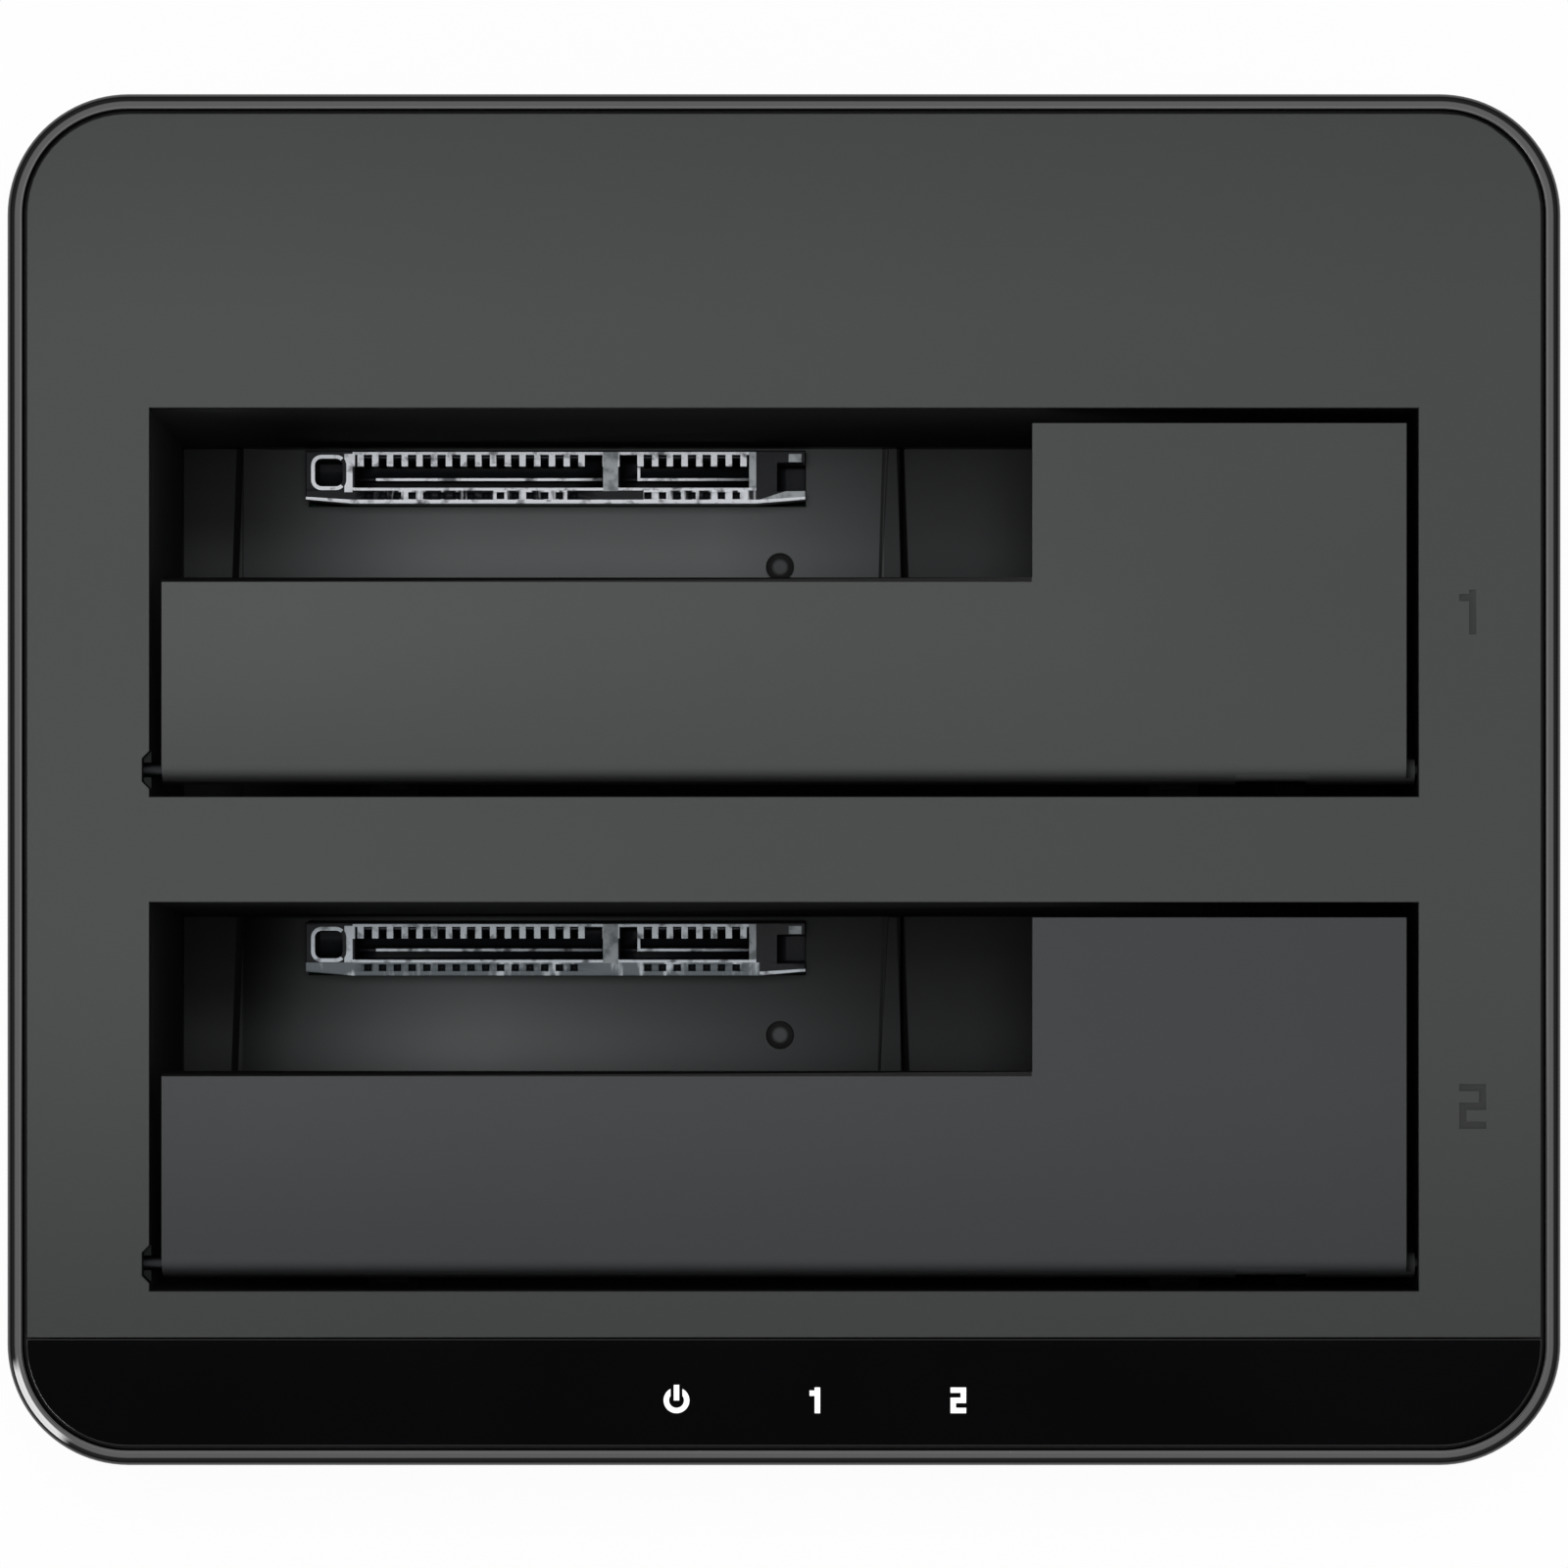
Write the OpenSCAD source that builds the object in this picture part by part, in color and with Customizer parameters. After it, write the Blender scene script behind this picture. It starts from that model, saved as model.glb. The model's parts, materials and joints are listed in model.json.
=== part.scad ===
// Docking station with two upright drive bays, each under a sprung flap.
// Millimetres. The origin lies on the table under the middle of the housing:
// X runs to the right, Y to the rear, where the ports are, and Z up.
// Bay 1 is the rear one and bay 2 the front one.

/* [Bays] */
// Width of the slot over each bay
slot_w = 104.5; // [103:0.5:112]
// Depth of the slot over each bay, front to rear
slot_d = 32; // [30:0.5:36]
// Depth of a bay, from the top panel down to its floor
well_depth = 38.2; // [36:0.2:44]
// Thickness of a bay's walls
well_wall = 2; // [1.6:0.1:2.4]
// Thickness of a bay's floor
floor_t = 2; // [1.8:0.1:3]
// How far a bay's rear wall leans in at its floor
well_lean = 1.8; // [0.5:0.1:2.2]
// How far the floor drops at both sides of its middle pad
side_drop = 1.2; // [0.6:0.1:1.4]
// From the left end of a slot to the left edge of the floor's pad
pad_left = 5.2; // [3:0.1:8]
// Width of the floor's pad
pad_w = 57.4; // [56:0.2:64]
// From the left end of a slot to the locating hole in the floor
peg_from_left = 51.9; // [48:0.1:55]
// From the rear edge of a slot to the locating hole in the floor
peg_from_rear = 12.1; // [10:0.1:16]
// Radius of the locating peg in the floor
peg_r = 1.15; // [0.9:0.05:1.4]

/* [Top panel] */
// Panel between a slot and the side of the housing
side_bar = 11.75; // [11.5:0.25:16]
// Panel behind the rear slot
rear_bar = 25.9; // [25.5:0.1:36]
// Panel between the two slots
mid_bar = 8.7; // [6:0.1:14]
// Panel between the front slot and the gloss strip
front_bar = 3.9; // [3.8:0.1:6]
// Depth of the gloss strip at the front, rim included
strip_d = 10.5; // [10.5:0.1:14]
// Thickness of the top panel and of the gloss strip
panel_t = 2; // [1.8:0.1:2.4]
// Dark gap between the panel and the rim round it
panel_gap = 0.35; // [0.2:0.05:0.5]
// Seam between the panel and the gloss strip
seam = 0.12; // [0.06:0.02:0.3]
// How far the panel lies below the crest of the rim
panel_sink = 0.3; // [0:0.05:0.5]
// Height of the bay numbers on the panel
mark_h = 3.7; // [2.5:0.1:5]
// Depth of the bay numbers
mark_deep = 0.25; // [0.1:0.05:0.5]
// From the right end of a slot to its bay number
mark_from_slot = 4.45; // [3:0.05:6]

/* [Housing] */
// Radius of the upright corners
corner_r = 10; // [9:0.5:13]
// Thickness of the housing's wall
wall = 2.2; // [1.8:0.1:2.6]
// Width of the rim that stands round the panel
rim_w = 1.3; // [1.1:0.05:1.6]
// Flat left on the rim's crest, inside its rounded outer edge
rim_flat = 0.1; // [0.1:0.05:0.6]
// How far the ledge under the panel reaches in from the rim
ledge_w = 2; // [1.6:0.1:2.4]
// Thickness of that ledge
ledge_t = 2; // [1.5:0.1:2.5]
// Height of the lower case, without its feet
base_h = 8.5; // [8:0.5:9.5]
// Thickness of the lower case's floor
base_t = 2.5; // [2.2:0.1:3]
// Rounding of the lower case's bottom edge
base_round = 1.5; // [0.5:0.1:1.8]
// Height of the lip that centres the upper case
lip_h = 1.5; // [1:0.1:1.8]
// Thickness of that lip
lip_t = 1.2; // [0.8:0.1:1.4]
// Height of the air gap under the lower case
foot_proud = 1.5; // [1:0.1:3]
// Radius of a rubber foot
foot_r = 6; // [4:0.5:7]
// How deep a foot sits in its recess
foot_sink = 1; // [0.6:0.1:1.2]
// From the sides of the housing to the middle of a foot
foot_inset = 18; // [16:0.5:24]

/* [Flaps] */
// Thickness of a flap
flap_t = 2.2; // [1.8:0.1:2.4]
// Gap at each side of a flap
flap_side_gap = 1; // [0.6:0.1:1.4]
// Gap behind a flap
flap_rear_gap = 1.25; // [0.6:0.05:2]
// Gap in front of a flap's nose
flap_front_gap = 1.3; // [1:0.05:1.5]
// Rounding of a flap's front edge
nose_r = 1.8; // [1.2:0.1:1.8]
// Width of the notch for small drives, from the left end of the slot
notch_w = 72.7; // [71:0.1:76]
// Depth of that notch, from the rear edge of the slot
notch_d = 13.95; // [11:0.05:16]
// From the front edge of a slot back to its hinge
hinge_in = 2.2; // [2.1:0.05:2.6]
// Radius of the hinge rod
rod_r = 0.6; // [0.5:0.05:0.65]
// Radius of the barrel on a flap
barrel_r = 1.2; // [1.05:0.05:1.3]

/* [Flap springs] */
// Radius of the spring wire
wire_r = 0.2; // [0.15:0.01:0.22]
// Radius of a coil, to the middle of the wire
coil_r = 0.95; // [0.9:0.01:1]
// Advance of the coil for each turn
coil_pitch = 0.9; // [0.85:0.01:1.2]
// Whole turns in a spring
coil_turns = 4; // [2:1:6]
// Length of a spring's legs
spring_leg = 6; // [4:0.5:8]
// From the right end of a slot to its spring
spring_from_right = 14; // [12:0.5:18]

/* [Drive sockets] */
// Spacing of the contacts
contact_pitch = 1.27; // [1.2:0.01:1.3]
// Contacts in the power group
power_contacts = 15; // [11:1:15]
// Contacts in the signal group
signal_contacts = 7; // [5:1:7]
// From the last power contact to the first signal contact
group_gap = 6.35; // [4:0.05:6.5]
// Length of a socket over its two ears
socket_w = 43.1; // [42.5:0.1:46]
// Width of a socket
socket_d = 4.6; // [4.4:0.1:5.2]
// How far a socket stands above the bay's floor
socket_proud = 6; // [4:0.1:7]
// From the left end of a slot to the middle of its socket
socket_from_left = 32.55; // [30:0.05:34]
// From the rear edge of a slot to the middle of its socket
socket_from_rear = 4.5; // [4.4:0.05:6]

/* [Circuit boards] */
// Thickness of the main board
board_t = 1.6; // [1:0.1:2]
// Height of the main board above the lower case's floor
board_lift = 8.9; // [8.5:0.1:12]
// Room between the main board and the bays
under_floor = 5; // [4.5:0.1:8]
// Edge of the main board to the inside of the front and side walls
board_edge = 3.8; // [3:0.1:4]
// From the gloss strip down to the light board
light_drop = 3.5; // [3.2:0.1:5]
// Thickness of the light board
light_board_t = 1; // [0.8:0.1:1.6]
// Spacing of the lights
light_pitch = 11.6; // [9:0.1:13]
// From the middle of the housing to the middle light
light_x = 2.75; // [-10:0.05:10]
// From the front of the housing to the lights
light_from_front = 5.4; // [5.3:0.05:6]
// Height of the marks that light up
icon_h = 2.1; // [1.6:0.1:2.4]
// Stroke of those marks
icon_stroke = 0.42; // [0.3:0.01:0.45]

/* [Ports] */
// Width of the port recess at the rear
window_w = 80; // [78:1:90]
// Height of the port recess
window_h = 15; // [14.5:0.5:18]
// Depth of the port recess
recess_d = 4; // [3.5:0.1:5]
// Thickness of the port plate
port_plate_t = 1.6; // [1.2:0.1:2]
// Spacing of the three ports
port_pitch = 28; // [24:0.5:30]
// Bore of the power jack
jack_bore_r = 3.15; // [2.9:0.05:3.3]
// Radius of the power jack's middle pin
jack_pin_r = 1; // [0.8:0.05:1.25]
// Tilt of the power rocker to each side
rocker_tilt = 10; // [6:1:12]
// Radius of the rocker's pin
rocker_pin_r = 0.75; // [0.5:0.05:0.9]

/* [Fits] */
// Clearance round what turns on a rod or pin
run_fit = 0.05; // [0.03:0.01:0.08]
// Clearance round what is pushed into its seat
push_fit = 0.02; // [0.01:0.01:0.03]
// Clearance between parts that only pass each other
pass_gap = 0.3; // [0.2:0.05:0.4]

/* [Hidden] */
$fn = 48;
// Overshoot of a cut past the face that it opens
over = 1;

// Overall sizes
body_w = slot_w + 2 * side_bar;
body_d = rear_bar + 2 * slot_d + mid_bar + front_bar + strip_d;
base_z = foot_proud;
tray_z = base_z + base_t;
split_z = base_z + base_h;
board_z = tray_z + board_lift;
board_top = board_z + board_t;
well_under = board_top + under_floor;
floor_z = well_under + floor_t;
panel_top = floor_z + well_depth;
body_h = panel_top + panel_sink;
// The panel's underside, which is also the height of both hinges
seat_z = panel_top - panel_t;

// Places of the bays and of the seam between panel and strip
function bay_rear(i) = body_d / 2 - rear_bar - i * (slot_d + mid_bar);
function bay_front(i) = bay_rear(i) - slot_d;
function bay_middle(i) = bay_rear(i) - slot_d / 2;
function hinge_y(i) = bay_front(i) + hinge_in;
slot_left = -slot_w / 2;
slot_right = slot_w / 2;
seam_y = bay_front(1) - front_bar;

// Bevel under a rubber foot
foot_chamfer = 0.5;

// Bosses, towers and screws at the corners of the housing
boss_r = 3.4;
boss_h = 22;
boss_bite = 0.6;
boss_out = (corner_r - wall - boss_r + boss_bite) / sqrt(2);
boss_x = body_w / 2 - corner_r + boss_out;
boss_y = body_d / 2 - corner_r + boss_out;
tower_r = 4.2;
case_screw_r = 1.45;
case_screw_len = 12;
case_head_r = 2.8;
case_head_h = 2;
case_head_deep = 4;
case_head_z = split_z - case_head_deep;

// Cross slot in a screw's head, in radii of that head
cross_wide = 0.3;
cross_half = 0.6;

// Bay numbers, from the middle of their slots
mark_shift = -0.8;
mark_stroke = 0.6;
// Width of a number in its heights; drop of the flag of a 1 and half gap of the on-off sign in strokes
digit_wide = 0.6;
flag_drop = 1.6;
sign_gap = 1.2;

// Rim, ledge, beam, hooks and the stakes that carry the bays
rim_round = rim_w - rim_flat;
ledge_in = rim_w + ledge_w;
beam_half = 1.4;
hook_w = 6;
hook_t = 1.2;
hook_reach = 0.7;
hook_drop = 2;
hook_slack = 0.1;
rear_hook_x = 30;
strip_hook_x = 40;
ear_gap = 1.5;
ear_w = side_bar - well_wall - ledge_in - ear_gap;
ear_len = 8;
ear_t = 2;
ear_step = 9;
ear_x = slot_right + well_wall + ear_w / 2;
stake_r = 1.2;
stake_head_r = 2;
stake_head_h = 0.8;

// Flap, heel stop and hinge rod, from the hinge axis
flap_low = panel_t - flap_t;
flap_nose = hinge_in - flap_front_gap;
flap_right = slot_right - flap_side_gap;
notch_x = slot_left + notch_w;
flap_long = slot_d - hinge_in - flap_rear_gap;
flap_short = slot_d - hinge_in - notch_d;
barrel_end_gap = 0.25;
rod_bite = 1.75;
rod_len = slot_w + 2 * rod_bite;
pocket_w = 0.6;
pocket_len = 3.1;
pocket_chamfer = 0.6;
heel_w = 2.4;
heel_reach = 1.6;
heel_low = 1.1;
heel_high = 0.3;
heel_from_end = 20;
stop_w = 4;
stop_reach = 1.1;
stop_h = 3;
stop_slack = 0.1;

// Torsion spring on the hinge rod
spring_x = slot_right - spring_from_right;
spring_len = coil_pitch * (coil_turns + 0.25);
spring_free = 0.2;
spring_room = coil_r + wire_r + spring_free;
spring_end_gap = 1;
coil_start = 90;
spring_sides = 6;
spring_steps = 8;
leg_slot_w = 0.9;
rest_w = 2.4;
rest_high = 3.5;
rest_low = 6.5;

// Wedge on a bay's floor
rib_len = 20;
rib_h = 0.8;
rib_edge = 0.2;
rib_rear_w = 1.1;
rib_front_w = 2.2;

// Drive socket, from its middle
socket_x = slot_left + socket_from_left;
socket_top = floor_z + socket_proud;
contact_shift = -0.3;
contact_span = (power_contacts + signal_contacts - 2) * contact_pitch + group_gap;
first_contact = contact_shift - contact_span / 2;
last_power = first_contact + (power_contacts - 1) * contact_pitch;
first_signal = last_power + group_gap;
last_signal = first_signal + (signal_contacts - 1) * contact_pitch;
contact_x = concat(
  [for (k = [0:power_contacts - 1]) first_contact + k * contact_pitch],
  [for (k = [0:signal_contacts - 1]) first_signal + k * contact_pitch]
);
divider_x = (last_power + first_signal) / 2;
divider_w = 1.5;
cavity_end = 1.1;
cavity_deep = 8;
socket_rear_wall = 0.4;
socket_front_wall = 1.4;
socket_ear = 2.4;
socket_ear_wall = 0.8;
contact_w = 0.7;
contact_reach = 1.2;
contact_low = 1;
guide_t = 0.25;
guide_low = 2.5;
cell_w = 0.65;
cell_d = 0.6;
cell_deep = 1.2;

// Main board and what fixes it
board_side_room = 6;
board_rear_room = 1.4;
board_right = body_w / 2 - wall - board_edge - board_side_room;
board_front = -(body_d / 2 - wall - board_edge);
board_rear = body_d / 2 - recess_d - port_plate_t - board_rear_room;
post_r = 3;
post_in_x = 5;
post_in_front = 6.5;
post_in_rear = 4.5;
board_screw_r = 1.1;
board_screw_len = 6;
board_head_r = 2.2;
board_head_h = 1.6;
peg_post_r = 2.5;
peg_low = 0.5;

// Parts on the main board, in from its right end and behind the middle of a bay
bridge_place = [30, -6];
bridge_size = [12, 12, 1.2];
flash_place = [30, 0];
flash_size = [5.2, 4, 1.6];
crystal_place = [18, -6];
crystal_size = [5, 3.2, 1.2];
inductor_place = [11, 5];
inductor_size = [7, 7, 3.4];
capacitor_r = 3.1;
capacitor_h = 8;
capacitor_gap = 0.8;

// Light board, its cable and the marks in the gloss strip
light_y = light_from_front - body_d / 2;
light_top = seat_z - light_drop;
light_board_over = 5.2;
light_board_w = 3 * light_pitch + light_board_over;
light_board_front = 2.6;
light_board_rear = 3.4;
light_post_in = 3;
light_post_x = light_board_w / 2 - light_post_in;
light_post_r = 1.7;
light_screw_r = 0.8;
light_screw_len = 3.4;
light_head_r = 1.5;
light_head_h = 1;
light_size = [1.6, 0.9, 0.7];
lens_r = 1.85;
lens_t = 0.8;
stem_r = 1.2;
cable_behind = 2.1;
cable_y = light_y + cable_behind;
cable_w = 8;
cable_t = 0.8;
header_w = 10;
header_d = 2.4;
header_h = 2.6;

// Ports, from the plate's outer face
plate_y = body_d / 2 - recess_d;
window_drop = 1;
window_z = board_top - window_drop;
frame_t = 1.5;
port_lift = 6.5;
port_z = board_top + port_lift;
plate_slack = 0.1;
plate_edge = frame_t - plate_slack;
keeper_t = 1.2;
keeper_w = 5;
keeper_x = 34;
keeper_high = 2;
jack_w = 9;
jack_h = 11;
jack_len = 14.2;
jack_proud = 0.5;
jack_bore_deep = 9.5;
jack_pin_low = 1;
jack_root_len = 3;
jack_root_step = 0.2;
jack_root_r = jack_pin_r - jack_root_step;
usb_w = 12;
usb_h = 12.6;
usb_len = 16.6;
usb_proud = 0.7;
usb_skin = 0.5;
usb_deep = 9;
usb_mouth = [8.6, 7.9];
usb_crown = [6, 2.4];
usb_sill = 0.9;
tongue_w = 5.6;
tongue_t = 3.2;
crown_tongue_w = 4.6;
crown_tongue_t = 0.9;
tongue_low = 1;
usb_contact = [0.9, 6, 0.15];
usb_pair_x = 1.25;
crown_pitch = 0.95;
crown_contact_w = 0.5;
bezel_w = 15;
bezel_h = 10.5;
bezel_t = 1.5;
switch_w = 13;
switch_h = 8.5;
switch_len = 12;
rocker_r = 5;
rocker_h = 6.2;
rocker_front = 3.6;
rocker_rear = 2.2;
rocker_pivot = 3;
rocker_room = 5;
terminal_w = 3;
terminal_t = 0.8;
terminal_len = 4;
terminal_x = 3;

// Flat outline of a rectangle with round corners
module round_rect(w, d, r) {
  square([w - 2 * r, d], center = true);
  square([w, d - 2 * r], center = true);
  for (sx = [-1, 1], sy = [-1, 1])
    translate([sx * (w / 2 - r), sy * (d / 2 - r)])
      circle(r);
}

// Quarter of a disc that rounds off a corner of an outline, towards the way given
module quarter(r, way_x, way_y) {
  intersection() {
    circle(r);
    translate([way_x < 0 ? -r : 0, way_y < 0 ? -r : 0])
      square(r);
  }
}

// Carries an upright outline round a rectangle with round corners; its x is the way in from the edge
module sweep_round(w, d, r) {
  for (k = [0:3]) {
    half = (k % 2 == 0 ? w : d) / 2;
    run = (k % 2 == 0 ? d : w) - 2 * r;
    rotate([0, 0, 90 * k]) {
      translate([-half, run / 2, 0])
        rotate([90, 0, 0])
          linear_extrude(run)
            children();
      translate([r - half, -run / 2, 0])
        rotate([0, 0, 180])
          rotate_extrude(angle = 90)
            translate([r, 0])
              mirror([1, 0])
                children();
    }
  }
}

// Extrudes an outline drawn in Y and Z along X, from one place to another
module along_x(from, to) {
  translate([from, 0, 0])
    rotate([90, 0, 90])
      linear_extrude(to - from)
        children();
}

// A round bar along X
module bar_x(r, from, to) {
  translate([from, 0, 0])
    rotate([0, 90, 0])
      cylinder(r = r, h = to - from);
}

// A round bar along Y
module bar_y(r, from, to) {
  translate([0, from, 0])
    rotate([-90, 0, 0])
      cylinder(r = r, h = to - from);
}

// A block given by its two corners
module block(low, high) {
  translate(low)
    cube(high - low);
}

// Copies at four places, mirrored in both axes
module at_four(x, y) {
  for (sx = [-1, 1], sy = [-1, 1])
    translate([sx * x, sy * y, 0])
      children();
}

// Places of the main board's four fixings
module at_board_posts() {
  for (sx = [-1, 1])
    for (y = [board_front + post_in_front, board_rear - post_in_rear])
      translate([sx * (board_right - post_in_x), y, 0])
        children();
}

// Places of the locating pegs under the two bays
module at_pegs() {
  for (i = [0, 1])
    translate([slot_left + peg_from_left, bay_rear(i) - peg_from_rear, 0])
      children();
}

// Places of the light board's two fixings
module at_light_posts() {
  for (sx = [-1, 1])
    translate([light_x + sx * light_post_x, light_y, 0])
      children();
}

// A screw with its head's seat at the origin and its shank upwards
module screw(shank_r, len, head_r, head_h) {
  slot = head_r * cross_wide;
  half = head_r * cross_half;
  difference() {
    union() {
      cylinder(r = shank_r, h = len);
      translate([0, 0, -head_h])
        cylinder(r = head_r, h = head_h);
    }
    for (turn = [0, 90])
      rotate([0, 0, turn])
        translate([-half, -slot / 2, -head_h - over])
          cube([2 * half, slot, over + head_h / 2]);
  }
}

// Wall of the lower case: rounded at the bottom, with a lip inside its upper edge
module tray_wall_outline() {
  lip_u = wall + push_fit;
  polygon([
    [base_round, base_z], [base_round, base_z + base_round], [0, base_z + base_round],
    [0, split_z], [lip_u, split_z], [lip_u, split_z + lip_h], [lip_u + lip_t, split_z + lip_h],
    [lip_u + lip_t, split_z - lip_t], [wall, split_z - 2 * lip_t], [wall, base_z]
  ]);
  translate([base_round, base_z + base_round])
    quarter(base_round, -1, -1);
}

module lower_case() {
  color("#121213")
    difference() {
      union() {
        sweep_round(body_w, body_d, corner_r)
          tray_wall_outline();
        translate([0, 0, base_z])
          linear_extrude(base_t)
            round_rect(body_w - 2 * base_round, body_d - 2 * base_round, corner_r - base_round);
        at_four(boss_x, boss_y)
          translate([0, 0, tray_z - over])
            cylinder(r = tower_r, h = split_z - tray_z + over);
        at_board_posts()
          translate([0, 0, tray_z - over])
            cylinder(r = post_r, h = board_lift + over);
        at_pegs() {
          translate([0, 0, tray_z - over])
            cylinder(r = peg_post_r, h = well_under - tray_z + over - push_fit);
          translate([0, 0, tray_z])
            cylinder(r = peg_r, h = floor_z - peg_low - tray_z);
        }
        plate_keepers();
      }
      at_four(boss_x, boss_y) {
        translate([0, 0, split_z])
          cylinder(r = boss_r + pass_gap, h = lip_h + over);
        translate([0, 0, base_z - over])
          cylinder(r = case_head_r + pass_gap, h = case_head_z - base_z + over);
        cylinder(r = case_screw_r + pass_gap, h = split_z + over);
      }
      at_four(body_w / 2 - foot_inset, body_d / 2 - foot_inset)
        translate([0, 0, base_z - over])
          cylinder(r = foot_r + push_fit, h = foot_sink + over);
      at_board_posts()
        translate([0, 0, board_z - board_screw_len])
          cylinder(r = board_screw_r + push_fit, h = board_screw_len + over);
    }
}

// Two stepped ribs that the port plate stands in
module plate_keepers() {
  rear = plate_y - port_plate_t - push_fit;
  for (sx = [-1, 1])
    translate([sx * keeper_x - keeper_w / 2, rear - keeper_t, tray_z - over]) {
      cube([keeper_w, keeper_t + push_fit + port_plate_t, window_z - plate_edge - tray_z + over]);
      cube([keeper_w, keeper_t, window_z - plate_edge + keeper_high - tray_z + over]);
    }
}

// Wall of the upper case: rounded rim, rebate for the panel and the ledge under it
module case_wall_outline() {
  polygon([
    [0, split_z], [0, body_h - rim_round], [rim_round, body_h - rim_round], [rim_round, body_h],
    [rim_w, body_h], [rim_w, seat_z], [ledge_in, seat_z], [ledge_in, seat_z - ledge_t],
    [wall, seat_z - ledge_t], [wall, split_z]
  ]);
  translate([rim_round, body_h - rim_round])
    quarter(rim_round, -1, 1);
}

module upper_case() {
  color("#0a0a0b")
    difference() {
      union() {
        sweep_round(body_w, body_d, corner_r)
          case_wall_outline();
        block(
          [wall - body_w / 2, seam_y - beam_half, seat_z - ledge_t],
          [body_w / 2 - wall, seam_y + beam_half, seat_z]
        );
        at_four(boss_x, boss_y)
          translate([0, 0, split_z])
            cylinder(r = boss_r, h = boss_h);
        block(
          [-window_w / 2 - frame_t, plate_y, window_z - frame_t],
          [window_w / 2 + frame_t, body_d / 2 - wall / 2, window_z + window_h + frame_t]
        );
      }
      block(
        [-window_w / 2, plate_y - over, window_z],
        [window_w / 2, body_d / 2 + over, window_z + window_h]
      );
      at_four(boss_x, boss_y)
        translate([0, 0, split_z - over])
          cylinder(r = case_screw_r + push_fit, h = case_screw_len + over);
    }
}

// Outline inside the rim that the panel and the gloss strip share
module lid_outline() {
  edge = rim_w + panel_gap;
  round_rect(body_w - 2 * edge, body_d - 2 * edge, corner_r - edge);
}

// Half of the lid, in front of the seam or behind it
module lid_half(front) {
  intersection() {
    lid_outline();
    translate([-body_w / 2, front ? -body_d : seam_y + seam / 2])
      square([body_w, front ? body_d + seam_y - seam / 2 : body_d]);
  }
}

// Slot over a bay, with the pocket at its left front corner that lets the hinge rod in
module slot_outline(i) {
  translate([slot_left, bay_front(i)])
    square([slot_w, slot_d]);
  translate([slot_left - pocket_w, bay_front(i) + hinge_in - pocket_len / 2])
    polygon([
      [pocket_w + over, 0], [pocket_w, 0], [0, pocket_chamfer],
      [0, pocket_len - pocket_chamfer], [pocket_w, pocket_len], [pocket_w + over, pocket_len]
    ]);
}

// Snap hook whose leg's outer face is at the origin, with its barb towards -X
module hook() {
  barb = -ledge_t - hook_slack;
  rotate([90, 0, 0])
    translate([0, 0, -hook_w / 2])
      linear_extrude(hook_w)
        polygon([
          [0, 0], [hook_t, 0], [hook_t, barb - hook_drop], [0, barb - hook_drop],
          [-hook_reach, barb - hook_reach], [-hook_reach, barb], [0, barb]
        ]);
}

// Strokes of a plain digit, each grown by a margin; the outline is centred
module digit(n, h, stroke, margin) {
  w = h * digit_wide;
  bars = n == 1
    ? [[-stroke / 2, -h / 2, stroke, h], [-w / 2, h / 2 - stroke * flag_drop, w / 2, stroke]]
    : [
        [-w / 2, h / 2 - stroke, w, stroke], [w / 2 - stroke, -stroke / 2, stroke, h / 2 + stroke / 2],
        [-w / 2, -stroke / 2, w, stroke], [-w / 2, -h / 2, stroke, h / 2 + stroke / 2],
        [-w / 2, -h / 2, w, stroke]
      ];
  for (b = bars)
    translate([b[0] - margin, b[1] - margin])
      square([b[2] + 2 * margin, b[3] + 2 * margin]);
}

// On-off sign: an open ring with a stroke through its gap
module power_sign(h, stroke, margin) {
  r = h / 2;
  difference() {
    circle(r + margin);
    circle(r - stroke - margin);
    translate([margin - stroke * sign_gap, 0])
      square([2 * (stroke * sign_gap - margin), r + over]);
  }
  translate([-stroke / 2 - margin, -margin])
    square([stroke + 2 * margin, r + stroke / 2 + 2 * margin]);
}

module top_panel() {
  color("#4b4d4c")
    difference() {
      union() {
        translate([0, 0, seat_z])
          linear_extrude(panel_t)
            difference() {
              lid_half(false);
              for (i = [0, 1])
                slot_outline(i);
            }
        for (i = [0, 1], sx = [-1, 1]) {
          for (step = [-ear_step, ear_step])
            translate([sx * ear_x, bay_middle(i) + step, seat_z])
              stake();
          translate([sx * (body_w / 2 - ledge_in - pass_gap), bay_middle(i), seat_z])
            rotate([0, 0, sx < 0 ? 0 : 180])
              hook();
        }
        for (sx = [-1, 1])
          translate([sx * rear_hook_x, body_d / 2 - ledge_in - pass_gap, seat_z])
            rotate([0, 0, 270])
              hook();
      }
      for (i = [0, 1]) {
        translate([0, hinge_y(i), seat_z])
          bar_x(rod_r + push_fit, -rod_len / 2 - push_fit, rod_len / 2 + push_fit);
        translate([slot_right + mark_from_slot, bay_middle(i) + mark_shift, panel_top - mark_deep])
          linear_extrude(mark_deep + over)
            digit(i + 1, mark_h, mark_stroke, 0);
      }
    }
}

// Stake under the panel that passes through a bay's ear and is spread below it
module stake() {
  translate([0, 0, -ear_t - push_fit])
    cylinder(r = stake_r, h = ear_t + push_fit);
  translate([0, 0, -ear_t - push_fit - stake_head_h])
    cylinder(r = stake_head_r, h = stake_head_h);
}

// The lit mark at one of the three places in the gloss strip
module icon_outline(k, margin) {
  if (k == 0)
    power_sign(icon_h, icon_stroke, margin);
  else
    digit(k, icon_h, icon_stroke, margin);
}

function icon_x(k) = light_x + (k - 1) * light_pitch;

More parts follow.
